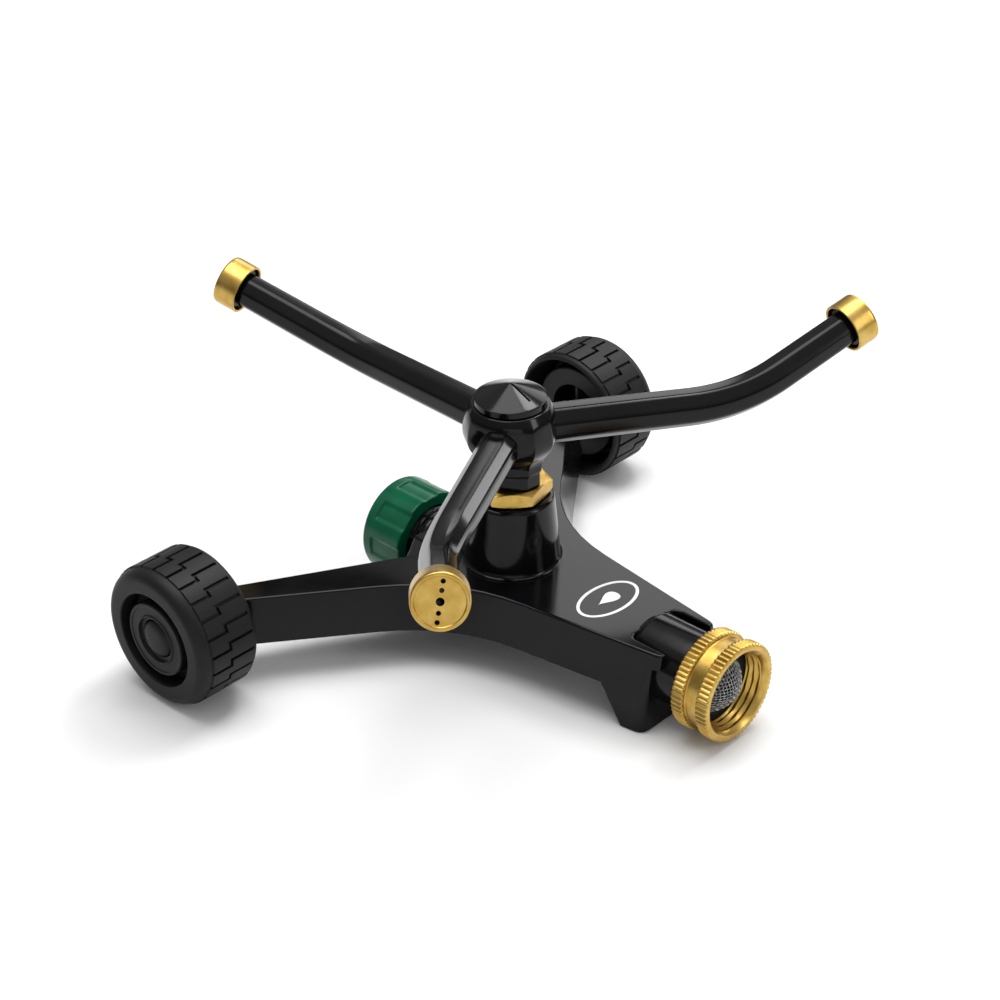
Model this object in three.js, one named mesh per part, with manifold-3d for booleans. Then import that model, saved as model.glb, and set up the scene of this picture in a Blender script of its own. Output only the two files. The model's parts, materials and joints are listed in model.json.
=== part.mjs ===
// A three-arm rotary garden sprinkler that stands on a cast base with two wheels and a front foot.
// Millimetres, +Z up. The hose joins at -Y, and the second outlet, under its cap, is at +Y.
// Everything is laid out from the rotor's axis at ground level (the group "sprinkler"), and that
// group is then set back so that the origin is the middle of the foot's sole.

import * as THREE from "three";
import { mergeVertices } from "three/addons/utils/BufferGeometryUtils.js";
import Module from "manifold-3d";

const wasm = await Module();
wasm.setup();

// ---------------------------------------------------------------- driving dimensions

const GAP = 0.3; // air between two pieces that touch, seat or turn on each other
const OVERCUT = 2; // how far a cutting tool runs past the face that it opens
const TURN = 2 * Math.PI;
const ROUNDING = 0.3; // an edge's rounding passes this share of its size in from both of its faces

const WHEEL = {
  radius: 24.3,
  width: 23.4,
  standoff: 12, // from a leg's end face out to the wheel's middle
  setback: 53.7,
  outerShoulder: { radius: 20.1, width: 4.5 }, // where each side face ends and how wide its rounding is
  innerShoulder: { radius: 22.2, width: 4 },
  outerRecess: { inner: 12.7, outer: 16.3, depth: 7 },
  innerRecess: { inner: 8, outer: 21.6, depth: 15, draft: 1 },
  discSetback: 0.6, // the hub disc lies this far below the outer side face
  capSocketRadius: 6.6,
  capSocketDepth: 4,
};

const BASE = {
  axleCover: 4.2, // metal above an axle's middle, up to the flat top plate
  depth: 15, // depth of the side walls
  draft: 4, // how far a side wall leans out from top to bottom
  wall: 3,
  frontHalfWidth: 12.9,
  frontEnd: 75.5, // from the rotor's axis forward to the end of the top plate
  waistHalfWidth: 23.8, // where the front arm's edge would meet a leg's edge
  waistSetback: 2.7,
  waistFillet: 24,
  legEnd: 86, // from the rotor's axis out to a leg's end face
  legNearEdge: 51,
  legFarEdge: 60.2,
  rearHalfWidth: 14.5,
  rearRoot: 19,
  rearFillet: 6,
  rearEnd: 32.5,
  cornerFillet: 3,
  solidLegEnd: 16, // length of each leg's end that is not hollow
};
const BASE_TOP = WHEEL.radius + BASE.axleCover; // height of the flat top plate

const WATER = {
  depth: 10.5, // from the top plate down to the middle of the waterway and both its ends
  boreRadius: 9, // waterway through the base
  barrelWall: 4.1, // cast tube around the waterway
  neckWall: 3.4, // threaded neck of the second outlet
};
const WATER_AXIS = BASE_TOP - WATER.depth;
const BARREL_RADIUS = WATER.boreRadius + WATER.barrelWall;
const NECK_RADIUS = WATER.boreRadius + WATER.neckWall;

const SLOT = { halfWidth: 10.7, start: 60.5, corner: 4, prongDepth: 5 }; // opening over the inlet barrel
const FOOT = { front: 72.8, soleLength: 9, heelRun: 8, halfWidth: 17.8, draft: 0.9 };
const TOWER = { rootRadius: 16, topRadius: 14, height: 23.8, edge: 1.4, fillet: 1.6 };
const OUTLET = { end: 50 }; // from the rotor's axis back to the end of the second outlet's neck

const COUPLING = {
  threadRadius: 13.2,
  wall: 1.9, // at the waist between its two flanges
  flangeRise: 1.7, // from the waist up to a flange's rim
  back: 82.2,
  length: 14.3,
  flange: 4.7,
  lip: 0.7, // bevel at each flange's edges
  backWall: 2.2,
};
// the flange is held inside the coupling, `flangeClearance` short of its thread
const TAILPIECE = { flangeClearance: 1.5, flangeThickness: 1.2, wall: 1.4, insertion: 16 };
const HOSE_WASHER = { innerRadius: 8.2, thickness: 1.6 };
const SCREEN = { domeRadius: 8.6, domeHeight: 3.2, wire: 0.8, rimThickness: 0.6 };

const END_CAP = { side: 4.5, length: 17.8, wall: 2.6, lobes: 8, lobeDepth: 0.6, edge: 1.8 };
const END_WASHER = { innerRadius: 7.5, thickness: 2.4 };

const NUT = {
  cornerRadius: 13.3,
  height: 5.3,
  turn: -106, // direction of one of its corners, in degrees
  shankRadius: 7.6,
  shankLength: 14,
  bevel: 0.6,
};
const WELL_RADIUS = NUT.shankRadius + GAP; // the round well down the tower
const SPINDLE = { radius: 5, bore: 3.4, flangeThickness: 1.8, engagement: 12 };
const THRUST = { thickness: 1.2 };
const SPINDLE_SEAL = { wire: 0.7 };

const ROTOR = {
  neckRadius: 10.9,
  neckTop: 7.5, // height of the straight neck above the nut
  neckFlats: 11.23, // corner radius of the eight-sided prism that trims the neck
  flareRadius: 14.6, // halfway up from the neck to the belt
  beltRadius: 15.8,
  beltHeight: 18, // height of the widest belt above the nut
  beltEdge: 0.4, // how far the belt's own edges are rounded in
  beltReach: 2.5, // and how far above and below the belt
  crownRadius: 14, // halfway up from the belt to the rim
  rimRadius: 12.1,
  rimEdge: 0.6,
  height: 27.4,
  chamberRadius: 8,
  chamberFloor: 13,
};
const CAP = {
  radius: 11.85,
  edge: 0.3,
  band: 2.1,
  coneHeight: 4.8,
  tipRadius: 1.2, // of the cone's blunt tip
  spigotLength: 4,
};
const CAP_SPIGOT_RADIUS = ROTOR.chamberRadius - GAP;
const CAP_SEAL = { wire: 0.6 };

const ARM = {
  count: 3,
  firstAngle: -153.3, // direction of arm 1, counter-clockwise from +X, in degrees
  acrossFlats: 12.4,
  bore: 3.2,
  bendRadius: 76.5, // where the arm turns up, from the rotor's axis
  bendDrop: 1, // from the root down to the bend
  bendLength: 17, // length of the curve on each side of the bend
  tipRadius: 124.6, // the nozzle's face, from the rotor's axis
  tipRise: 15.7, // from the root up to the nozzle's face
  tipSweep: 16.9, // how far the nozzle's face trails sideways
  spigotRadius: 5,
  spigotLength: 4,
};
const NOZZLE = {
  radius: 8.85,
  length: 8.4,
  wall: 0.9,
  edge: 1,
  face: 1.4,
  collarClearance: 0.45, // around the collar inside the cap
  collarLength: 4.2,
  washerThickness: 1.1,
  washerBore: 5,
  centreHole: 1.25,
  sideHole: 0.75,
  sideHolesAt: [3.3, 6], // distances of the small holes from the middle one, on both sides
  lean: -10, // turn of the row of holes about the nozzle's axis, in degrees
};

const TRACK_HALF = BASE.legEnd + WHEEL.standoff; // from the rotor's axis out to a wheel's middle
const AXLE = {
  radius: 2.5,
  insertion: 9,
  headRadius: 5,
  headThickness: 1.6,
  bossRadius: 4.2,
  bossLength: 8,
};
const HUB_CAP = { rim: 0.3, dome: 0.9 }; // the dome starts `rim` below the hub disc
const WHEEL_WASHER = { radius: 6, thickness: 0.8 };

// ---------------------------------------------------------------- finishes

const finish = (color, roughness, metalness) =>
  new THREE.MeshStandardMaterial({ color, roughness, metalness });
const BLACK_PAINT = finish("#161618", 0.15, 0);
const BRASS = finish("#c9a54a", 0.35, 1);
const STEEL = finish("#b9bcc0", 0.3, 1);
const GREEN_PLASTIC = finish("#04603f", 0.35, 0);
const WHEEL_PLASTIC = finish("#2a2a2b", 0.55, 0);
const RUBBER = finish("#1d1d1d", 0.8, 0);
const NYLON = finish("#e8e4d8", 0.5, 0);

// ---------------------------------------------------------------- solids and outlines

const rad = THREE.MathUtils.degToRad;

// A closed three.js geometry as a solid that can be joined and cut.
function solid(geometry) {
  const bare = geometry.index ? geometry.toNonIndexed() : geometry.clone();
  bare.deleteAttribute("normal");
  bare.deleteAttribute("uv");
  const merged = mergeVertices(bare, 1e-4);
  const corners = merged.index.array;
  const kept = [];
  for (let i = 0; i < corners.length; i += 3) {
    const [a, b, c] = [corners[i], corners[i + 1], corners[i + 2]];
    if (a !== b && b !== c && c !== a) kept.push(a, b, c);
  }
  return new wasm.Manifold(
    new wasm.Mesh({
      numProp: 3,
      vertProperties: merged.attributes.position.array,
      triVerts: new Uint32Array(kept),
    }),
  );
}

// The geometry of a solid, for a three.js mesh.
function geometryOf(made) {
  const mesh = made.getMesh();
  const geometry = new THREE.BufferGeometry();
  geometry.setAttribute("position", new THREE.BufferAttribute(mesh.vertProperties, 3));
  geometry.setIndex(new THREE.BufferAttribute(mesh.triVerts, 1));
  const flat = geometry.toNonIndexed();
  flat.computeVertexNormals();
  return flat;
}

// A profile of [radius, height] pairs turned about Z, listed upwards along its outer side.
function turned(profile, segments = 24) {
  const points = profile.map(([radius, height]) => new THREE.Vector2(radius, height));
  return solid(new THREE.LatheGeometry(points, segments).rotateX(Math.PI / 2));
}

// A flat ring or disc about Z, with square edges.
const ring = (inner, outer, low, high, segments = 20) =>
  turned([[inner, low], [outer, low], [outer, high], [inner, high], [inner, low]], segments);
const disc = (radius, low, high, segments) =>
  turned([[0, low], [radius, low], [radius, high], [0, high]], segments);

// A round wire bent into a ring about Z.
const seal = (radius, wire, height) =>
  solid(new THREE.TorusGeometry(radius, wire, 6, 20).translate(0, 0, height));

// A quarter of an ellipse as [radius, height] points, from its rim at `low` in to `inner` at its crown.
const quarter = (rim, inner, low, height, steps = 4) =>
  Array.from({ length: steps + 1 }, (_, i) => {
    const angle = (i / steps) * (Math.PI / 2);
    return [inner + (rim - inner) * Math.cos(angle), low + height * Math.sin(angle)];
  });

// The same solid laid so that its own Z points along -Y, +Y or X.
const towardFront = (made) => made.rotate([90, 0, 0]);
const towardRear = (made) => made.rotate([-90, 0, 0]);
const towardRight = (made) => made.rotate([0, 90, 0]);

// A prism about Z of an outline of THREE.Vector2 points or a THREE.Shape.
function prism(shape, low, high) {
  const geometry = new THREE.ExtrudeGeometry(shape, { depth: high - low, bevelEnabled: false });
  return solid(geometry.translate(0, 0, low));
}

const polygon = (points) => new THREE.Shape(points.map(([x, y]) => new THREE.Vector2(x, y)));

const regularPolygon = (sides, cornerRadius, startAngle = 0) =>
  polygon(
    Array.from({ length: sides }, (_, i) => {
      const angle = startAngle + (i * TURN) / sides;
      return [cornerRadius * Math.cos(angle), cornerRadius * Math.sin(angle)];
    }),
  );

// A closed outline through corners of [x, y, tangent length], each rounded by a curve.
function roundedOutline(corners) {
  const shape = new THREE.Shape();
  corners.forEach(([x, y, tangent], i) => {
    const here = new THREE.Vector2(x, y);
    const [before, after] = [corners.at(i - 1), corners[(i + 1) % corners.length]].map(
      ([nx, ny]) => new THREE.Vector2(nx, ny).sub(here).setLength(tangent).add(here),
    );
    if (i) shape.lineTo(before.x, before.y);
    else shape.moveTo(before.x, before.y);
    shape.quadraticCurveTo(x, y, after.x, after.y);
  });
  return shape;
}

// The same corners, with every edge of the outline moved inwards by `distance`.
function insetCorners(corners, distance) {
  return corners.map(([x, y, tangent], i) => {
    const here = new THREE.Vector2(x, y);
    const [before, after] = [corners.at(i - 1), corners[(i + 1) % corners.length]];
    const arriving = here.clone().sub(new THREE.Vector2(before[0], before[1])).normalize();
    const leaving = new THREE.Vector2(after[0], after[1]).sub(here).normalize();
    const inward = new THREE.Vector2(-arriving.y - leaving.y, arriving.x + leaving.x);
    const move = (2 * distance) / inward.lengthSq();
    return [x + inward.x * move, y + inward.y * move, tangent];
  });
}

// A block whose outline grows by `draft` from its top face down to `depth` below it.
function draftedBlock(shape, top, depth, draft) {
  const core = 1;
  const geometry = new THREE.ExtrudeGeometry(shape, {
    depth: core,
    bevelThickness: depth,
    bevelSize: draft,
    bevelSegments: 1,
    curveSegments: 6,
  });
  geometry.translate(0, 0, top - depth - core);
  const reach = 1000;
  const keep = new THREE.BoxGeometry(reach, reach, depth).translate(0, 0, top - depth / 2);
  return solid(geometry).intersect(solid(keep));
}

const block = (x0, x1, y0, y1, z0, z1) =>
  solid(
    new THREE.BoxGeometry(x1 - x0, y1 - y0, z1 - z0).translate(
      (x0 + x1) / 2,
      (y0 + y1) / 2,
      (z0 + z1) / 2,
    ),
  );

// ---------------------------------------------------------------- the tree of pieces

const sprinkler = new THREE.Group();

function piece(name, made, material, parent = sprinkler) {
  const mesh = new THREE.Mesh(geometryOf(made), material);
  mesh.name = name;
  parent.add(mesh);
  return mesh;
}

// A group whose Z lies along the waterway, pointing out of the base to the front or the rear.
function waterGroup(distance, facing) {
  const group = new THREE.Group();
  group.position.set(0, distance * Math.sign(facing), WATER_AXIS);
  group.rotation.x = facing < 0 ? Math.PI / 2 : -Math.PI / 2;
  sprinkler.add(group);
  return group;
}

// ---------------------------------------------------------------- base casting

// The corners of the top plate: a front arm, two legs that reach back to the wheels, and a short tail.
function plateCorners() {
  const right = [
    [BASE.frontHalfWidth, -BASE.frontEnd, BASE.cornerFillet],
    [BASE.waistHalfWidth, BASE.waistSetback, BASE.waistFillet],
    [BASE.legEnd, BASE.legNearEdge, 1],
    [BASE.legEnd, BASE.legFarEdge, 1],
    [BASE.rearHalfWidth, BASE.rearRoot, BASE.rearFillet],
    [BASE.rearHalfWidth, BASE.rearEnd, 2],
  ];
  const left = right.map(([x, y, tangent]) => [-x, y, tangent]).reverse();
  return [...right, ...left];
}

// The foot in side view, as [distance forward, height], from its sole up into the plate.
function footSolid() {
  const heel = FOOT.front - FOOT.soleLength;
  const kneeHeight = BASE_TOP - BASE.depth;
  const side = polygon([
    [-FOOT.front, 0],
    [-heel, 0],
    [-(heel - FOOT.heelRun), kneeHeight],
    [-(heel - FOOT.heelRun), BASE_TOP - BASE.wall],
    [-FOOT.front, BASE_TOP - BASE.wall],
  ]);
  const wide = FOOT.halfWidth + BASE.draft;
  // the outline is drawn in Y and Z, then the block is stood up across X
  const slab = solid(
    new THREE.ExtrudeGeometry(side, { depth: 2 * wide, bevelEnabled: false })
      .rotateY(Math.PI / 2)
      .rotateX(Math.PI / 2)
      .translate(-wide, 0, 0),
  );
  const topHalfWidth = FOOT.halfWidth - FOOT.draft - BASE.draft;
  const flank = polygon([
    [-FOOT.halfWidth, 0],
    [FOOT.halfWidth, 0],
    [FOOT.halfWidth - FOOT.draft, kneeHeight],
    [topHalfWidth, BASE_TOP],
    [-topHalfWidth, BASE_TOP],
    [-(FOOT.halfWidth - FOOT.draft), kneeHeight],
  ]);
  return slab.intersect(towardFront(prism(flank, 0, FOOT.front + OVERCUT)));
}

function baseCasting() {
  const corners = plateCorners();
  // the front arm and the legs end in upright faces, so only the long walls lean out
  const upright = block(
    -BASE.legEnd,
    BASE.legEnd,
    -BASE.frontEnd,
    BASE.legFarEdge + BASE.draft + OVERCUT,
    BASE_TOP - BASE.depth - OVERCUT,
    BASE_TOP + OVERCUT,
  );
  const walls = draftedBlock(roundedOutline(corners), BASE_TOP, BASE.depth, BASE.draft);
  const shell = walls.intersect(upright);
  const hollowDraft = (BASE.draft * (BASE.depth - BASE.wall)) / BASE.depth;
  const hollow = draftedBlock(
    roundedOutline(insetCorners(corners, BASE.wall)),
    BASE_TOP - BASE.wall,
    BASE.depth - BASE.wall + OVERCUT,
    hollowDraft,
  );
  const hollowReach = BASE.legEnd - BASE.solidLegEnd;
  const hollowBox = block(
    -hollowReach,
    hollowReach,
    -(FOOT.front - FOOT.soleLength - FOOT.heelRun - BASE.wall),
    BASE.legFarEdge + BASE.draft + OVERCUT,
    0,
    BASE_TOP,
  );

  const slotFloor = WATER_AXIS;
  const slotEdge = BASE.frontEnd + OVERCUT + SLOT.corner;
  const slot = prism(
    roundedOutline([
      [-SLOT.halfWidth, -slotEdge, 1],
      [SLOT.halfWidth, -slotEdge, 1],
      [SLOT.halfWidth, -SLOT.start, SLOT.corner],
      [-SLOT.halfWidth, -SLOT.start, SLOT.corner],
    ]),
    slotFloor,
    BASE_TOP + OVERCUT,
  );

  const towerTop = BASE_TOP + TOWER.height;
  const towerRoot = BASE_TOP - BASE.wall;
  const tower = turned([
    [0, WATER_AXIS],
    [TOWER.rootRadius, WATER_AXIS],
    [TOWER.rootRadius, towerRoot],
    [TOWER.rootRadius + TOWER.fillet, BASE_TOP],
    [TOWER.rootRadius + TOWER.fillet * ROUNDING, BASE_TOP + TOWER.fillet * ROUNDING],
    [TOWER.rootRadius, BASE_TOP + TOWER.fillet],
    [TOWER.topRadius, towerTop - TOWER.edge],
    [TOWER.topRadius - TOWER.edge * ROUNDING, towerTop - TOWER.edge * ROUNDING],
    [TOWER.topRadius - TOWER.edge, towerTop],
    [0, towerTop],
  ]);

  const barrelFront = COUPLING.back - GAP;
  const barrel = towardFront(disc(BARREL_RADIUS, -BASE.rearEnd, barrelFront)).translate([
    0, 0, WATER_AXIS,
  ]);
  const neck = towardRear(disc(NECK_RADIUS, 0, OUTLET.end)).translate([0, 0, WATER_AXIS]);
  const waterway = towardFront(
    disc(WATER.boreRadius, -OUTLET.end - OVERCUT, barrelFront + OVERCUT, 32),
  ).translate([0, 0, WATER_AXIS]);
  const well = disc(WELL_RADIUS, WATER_AXIS, towerTop + OVERCUT, 32);

  // in front of the foot only the two prongs beside the slot are left of the top plate
  const underProngs = block(
    -BASE.waistHalfWidth,
    BASE.waistHalfWidth,
    -BASE.frontEnd - OVERCUT,
    -FOOT.front,
    0,
    BASE_TOP - SLOT.prongDepth,
  );
  // between the slot and the tower the barrel stays under the plate's top
  const overBarrel = block(
    -BARREL_RADIUS,
    BARREL_RADIUS,
    -SLOT.start,
    TOWER.rootRadius / 2,
    BASE_TOP - GAP,
    BASE_TOP + TOWER.height,
  );
  let casting = shell.subtract(hollow.intersect(hollowBox)).add(footSolid());
  casting = casting.subtract(slot).subtract(underProngs);
  casting = casting.add(barrel.subtract(overBarrel)).add(tower).add(neck);
  for (const side of [-1, 1]) {
    const boss = towardRight(disc(AXLE.bossRadius, BASE.legEnd - AXLE.bossLength, BASE.legEnd, 24));
    const hole = towardRight(
      disc(AXLE.radius + GAP, BASE.legEnd - AXLE.insertion - GAP, BASE.legEnd + OVERCUT, 24),
    );
    const turn = side < 0 ? 180 : 0;
    const place = (made) => made.rotate([0, 0, turn]).translate([0, WHEEL.setback, WHEEL.radius]);
    casting = casting.add(place(boss)).subtract(place(hole));
  }
  return casting.subtract(waterway).subtract(well);
}

piece("base_casting", baseCasting(), BLACK_PAINT);

// ---------------------------------------------------------------- hose inlet

const TAILPIECE_RADIUS = WATER.boreRadius - GAP;
const COUPLING_HOLE = TAILPIECE_RADIUS + 2 * GAP;

// Each of these is turned about Z, with 0 at the coupling's back face and Z pointing out of the hose end.
const inlet = waterGroup(COUPLING.back, -1);

function hoseCoupling() {
  const { threadRadius, wall, flangeRise, length, flange, lip, backWall } = COUPLING;
  const waistRadius = threadRadius + wall;
  const radius = waistRadius + flangeRise;
  return turned(
    [
      [COUPLING_HOLE, 0],
      [radius - lip, 0],
      [radius, lip],
      [radius, flange - lip],
      [radius - lip, flange],
      [waistRadius, flange],
      [waistRadius, length - flange],
      [radius - lip, length - flange],
      [radius, length - flange + lip],
      [radius, length - lip],
      [radius - lip, length],
      [threadRadius, length],
      [threadRadius, backWall],
      [COUPLING_HOLE, backWall],
      [COUPLING_HOLE, 0],
    ],
    32,
  );
}

function inletTailpiece() {
  const { flangeClearance, flangeThickness, wall, insertion } = TAILPIECE;
  const radius = TAILPIECE_RADIUS;
  const flangeRadius = COUPLING.threadRadius - flangeClearance;
  const flangeLow = COUPLING.backWall + GAP;
  const flangeHigh = flangeLow + flangeThickness;
  const bore = radius - wall;
  return turned([
    [bore, -insertion],
    [radius, -insertion],
    [radius, flangeLow],
    [flangeRadius, flangeLow],
    [flangeRadius, flangeHigh],
    [bore, flangeHigh],
    [bore, -insertion],
  ]);
}

const washerLow = COUPLING.backWall + TAILPIECE.flangeThickness + 2 * GAP;
const washerHigh = washerLow + HOSE_WASHER.thickness;
const hoseWasherRadius = COUPLING.threadRadius - GAP;

// A domed screen with a flat rim, as thick as its woven wire.
function filterScreen() {
  const { domeRadius, domeHeight, wire, rimThickness } = SCREEN;
  const low = washerHigh + GAP;
  const high = low + rimThickness;
  const outside = quarter(domeRadius, 0, high, domeHeight);
  const inside = quarter(domeRadius - wire, 0, high, domeHeight - wire).reverse();
  const rim = [
    [domeRadius - wire, low],
    [hoseWasherRadius, low],
    [hoseWasherRadius, high],
  ];
  return turned([...inside, ...rim, ...outside], 20);
}

piece("inlet_tailpiece", inletTailpiece(), BRASS, inlet);
piece("hose_coupling", hoseCoupling(), BRASS, inlet);
piece(
  "hose_washer",
  ring(HOSE_WASHER.innerRadius, hoseWasherRadius, washerLow, washerHigh),
  RUBBER,
  inlet,
);
piece("filter_screen", filterScreen(), STEEL, inlet);

// ---------------------------------------------------------------- second outlet

// Z points out of the cap's closed end, and 0 is the neck's own end.
const outlet = waterGroup(OUTLET.end, 1);

// A cup with shallow finger flats between its lobes, open towards the base.
function endCap() {
  const high = GAP + END_WASHER.thickness + GAP + END_CAP.wall;
  const low = high - END_CAP.length;
  const steps = 5; // points along one lobe
  const count = END_CAP.lobes * steps;
  const outline = (depth, shrink) =>
    polygon(
      Array.from({ length: count }, (_, i) => {
        const angle = (i * TURN) / count;
        const dip = (depth / 2) * (1 - Math.cos(END_CAP.lobes * angle));
        const radius = NECK_RADIUS + GAP + END_CAP.side - shrink - dip;
        return [radius * Math.cos(angle), radius * Math.sin(angle)];
      }),
    );
  const body = prism(outline(END_CAP.lobeDepth, 0), low, high - END_CAP.edge);
  const top = prism(outline(END_CAP.lobeDepth, END_CAP.edge / 2), high - END_CAP.edge, high);
  const mouth = disc(NECK_RADIUS + GAP, low - OVERCUT, high - END_CAP.wall);
  return body.add(top).subtract(mouth);
}

piece("end_cap", endCap(), GREEN_PLASTIC, outlet);
piece(
  "end_cap_washer",
  ring(END_WASHER.innerRadius, NECK_RADIUS, GAP, GAP + END_WASHER.thickness),
  RUBBER,
  outlet,
);

// ---------------------------------------------------------------- rotor bearing

const NUT_BOTTOM = BASE_TOP + TOWER.height + GAP;
const NUT_TOP = NUT_BOTTOM + NUT.height;
const SPINDLE_HOLE = SPINDLE.radius + GAP;

const sealReach = SPINDLE_SEAL.wire + GAP; // half the height of the seal's seat
const sealHeight = NUT_TOP - sealReach;

function bearingNut() {
  const hexagon = regularPolygon(6, NUT.cornerRadius, rad(NUT.turn));
  const chamfer = turned([
    [0, NUT_BOTTOM],
    [NUT.cornerRadius - NUT.bevel, NUT_BOTTOM],
    [NUT.cornerRadius, NUT_BOTTOM + NUT.bevel],
    [NUT.cornerRadius, NUT_TOP - NUT.bevel],
    [NUT.cornerRadius - NUT.bevel, NUT_TOP],
    [0, NUT_TOP],
  ]);
  const head = prism(hexagon, NUT_BOTTOM, NUT_TOP).intersect(chamfer);
  const shank = disc(NUT.shankRadius, NUT_BOTTOM - NUT.shankLength, NUT_BOTTOM + NUT.bevel);
  const bore = disc(SPINDLE_HOLE, NUT_BOTTOM - NUT.shankLength - OVERCUT, NUT_TOP + OVERCUT);
  const seatRadius = SPINDLE_HOLE + 2 * SPINDLE_SEAL.wire + GAP;
  const sealSeat = disc(seatRadius, sealHeight - sealReach, NUT_TOP + OVERCUT);
  return head.add(shank).subtract(bore).subtract(sealSeat);
}

const ROTOR_BOTTOM = NUT_TOP + GAP;
const thrustHigh = NUT_BOTTOM - NUT.shankLength - GAP;
const thrustLow = thrustHigh - THRUST.thickness;
const spindleFlangeHigh = thrustLow - GAP;
const spindleFlangeLow = spindleFlangeHigh - SPINDLE.flangeThickness;
const spindleTop = ROTOR_BOTTOM + SPINDLE.engagement;

function spindle() {
  return turned(
    [
      [SPINDLE.bore, spindleFlangeLow],
      [WELL_RADIUS - GAP, spindleFlangeLow],
      [WELL_RADIUS - GAP, spindleFlangeHigh],
      [SPINDLE.radius, spindleFlangeHigh],
      [SPINDLE.radius, spindleTop],
      [SPINDLE.bore, spindleTop],
      [SPINDLE.bore, spindleFlangeLow],
    ],
    32,
  );
}

// ---------------------------------------------------------------- rotor

const HUB_TOP = ROTOR_BOTTOM + ROTOR.height;
const ARM_HEIGHT = ROTOR_BOTTOM + ROTOR.beltHeight; // the arms leave the hub at its belt

// The hub's outer side, grown by `extra`, as a solid of revolution.
function hubEnvelope(extra = 0) {
  const { neckRadius, neckTop, flareRadius, beltRadius, beltHeight } = ROTOR;
  const { beltEdge, beltReach, crownRadius, rimRadius, rimEdge, height } = ROTOR;
  const side = [
    [neckRadius, neckTop],
    [flareRadius, (neckTop + beltHeight) / 2],
    [beltRadius - beltEdge, beltHeight - beltReach],
    [beltRadius, beltHeight],
    [beltRadius - beltEdge, beltHeight + beltReach],
    [crownRadius, height - (height - beltHeight) * ROUNDING],
    [rimRadius, height - rimEdge],
  ];
  return turned([
    [0, ROTOR_BOTTOM - extra],
    [neckRadius + extra, ROTOR_BOTTOM - extra],
    ...side.map(([radius, above]) => [radius + extra, ROTOR_BOTTOM + above]),
    [rimRadius - rimEdge + extra, HUB_TOP + extra],
    [0, HUB_TOP + extra],
  ]);
}

// A piece laid along X from the axis, turned to an arm's direction.
const armAngle = (i) => ARM.firstAngle + (i * 360) / ARM.count;
const SOCKET_RADIUS = ARM.spigotRadius + GAP;
const SOCKET_START = ROTOR.beltRadius - ARM.spigotLength - GAP;

function rotorHub() {
  let hub = hubEnvelope();
  // eight flats around the straight neck
  const neckHigh = ROTOR_BOTTOM + ROTOR.neckTop;
  const flats = prism(regularPolygon(8, ROTOR.neckFlats, Math.PI / 8), ROTOR_BOTTOM, neckHigh);
  const upper = disc(ROTOR.beltRadius + OVERCUT, neckHigh, HUB_TOP + OVERCUT);
  hub = hub.intersect(flats.add(upper));
  const chamberLow = ROTOR_BOTTOM + ROTOR.chamberFloor;
  hub = hub
    .subtract(disc(SPINDLE.radius + GAP, ROTOR_BOTTOM - OVERCUT, chamberLow + OVERCUT, 32))
    .subtract(disc(ROTOR.chamberRadius, chamberLow, HUB_TOP + OVERCUT, 32));
  for (let i = 0; i < ARM.count; i += 1) {
    const drill = towardRight(disc(ARM.bore, 0, ROTOR.beltRadius + OVERCUT, 16));
    const socket = towardRight(disc(SOCKET_RADIUS, SOCKET_START, ROTOR.beltRadius + OVERCUT, 24));
    const place = (made) => made.rotate([0, 0, armAngle(i)]).translate([0, 0, ARM_HEIGHT]);
    hub = hub.subtract(place(drill)).subtract(place(socket));
  }
  return hub;
}

const capSealRadius = ROTOR.chamberRadius - GAP - CAP_SEAL.wire;
const capSealHeight = HUB_TOP + GAP - CAP.spigotLength / 2;

function rotorCap() {
  const low = HUB_TOP + GAP;
  const grooveRadius = capSealRadius - CAP_SEAL.wire - GAP;
  const grooveHalf = CAP_SEAL.wire + GAP;
  return turned([
    [0, low - CAP.spigotLength],
    [CAP_SPIGOT_RADIUS, low - CAP.spigotLength],
    [CAP_SPIGOT_RADIUS, capSealHeight - grooveHalf],
    [grooveRadius, capSealHeight - grooveHalf],
    [grooveRadius, capSealHeight + grooveHalf],
    [CAP_SPIGOT_RADIUS, capSealHeight + grooveHalf],
    [CAP_SPIGOT_RADIUS, low],
    [CAP.radius - CAP.edge, low],
    [CAP.radius, low + CAP.edge],
    [CAP.radius, low + CAP.band],
    [CAP.tipRadius, low + CAP.band + CAP.coneHeight - CAP.edge],
    [0, low + CAP.band + CAP.coneHeight],
  ]);
}

piece("bearing_nut", bearingNut(), BRASS);
piece("thrust_washer", ring(SPINDLE_HOLE, WELL_RADIUS - GAP, thrustLow, thrustHigh), NYLON);
piece("spindle", spindle(), BRASS);
piece("spindle_seal", seal(SPINDLE_HOLE + SPINDLE_SEAL.wire, SPINDLE_SEAL.wire, sealHeight), RUBBER);
piece("rotor_hub", rotorHub(), BLACK_PAINT);
piece("rotor_cap", rotorCap(), BLACK_PAINT);
piece("rotor_cap_seal", seal(capSealRadius, CAP_SEAL.wire, capSealHeight), RUBBER);

// ---------------------------------------------------------------- arms and nozzles

const up = new THREE.Vector3(0, 0, 1);

// Points along one arm that leaves the axis along +X: root, bend and nozzle face.
const armRoot = new THREE.Vector3(0, 0, ARM_HEIGHT);
const armBend = new THREE.Vector3(ARM.bendRadius, 0, ARM_HEIGHT - ARM.bendDrop);
const armTip = new THREE.Vector3(ARM.tipRadius, ARM.tipSweep, ARM_HEIGHT + ARM.tipRise);
const tipDirection = armTip.clone().sub(armBend).normalize();

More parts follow.
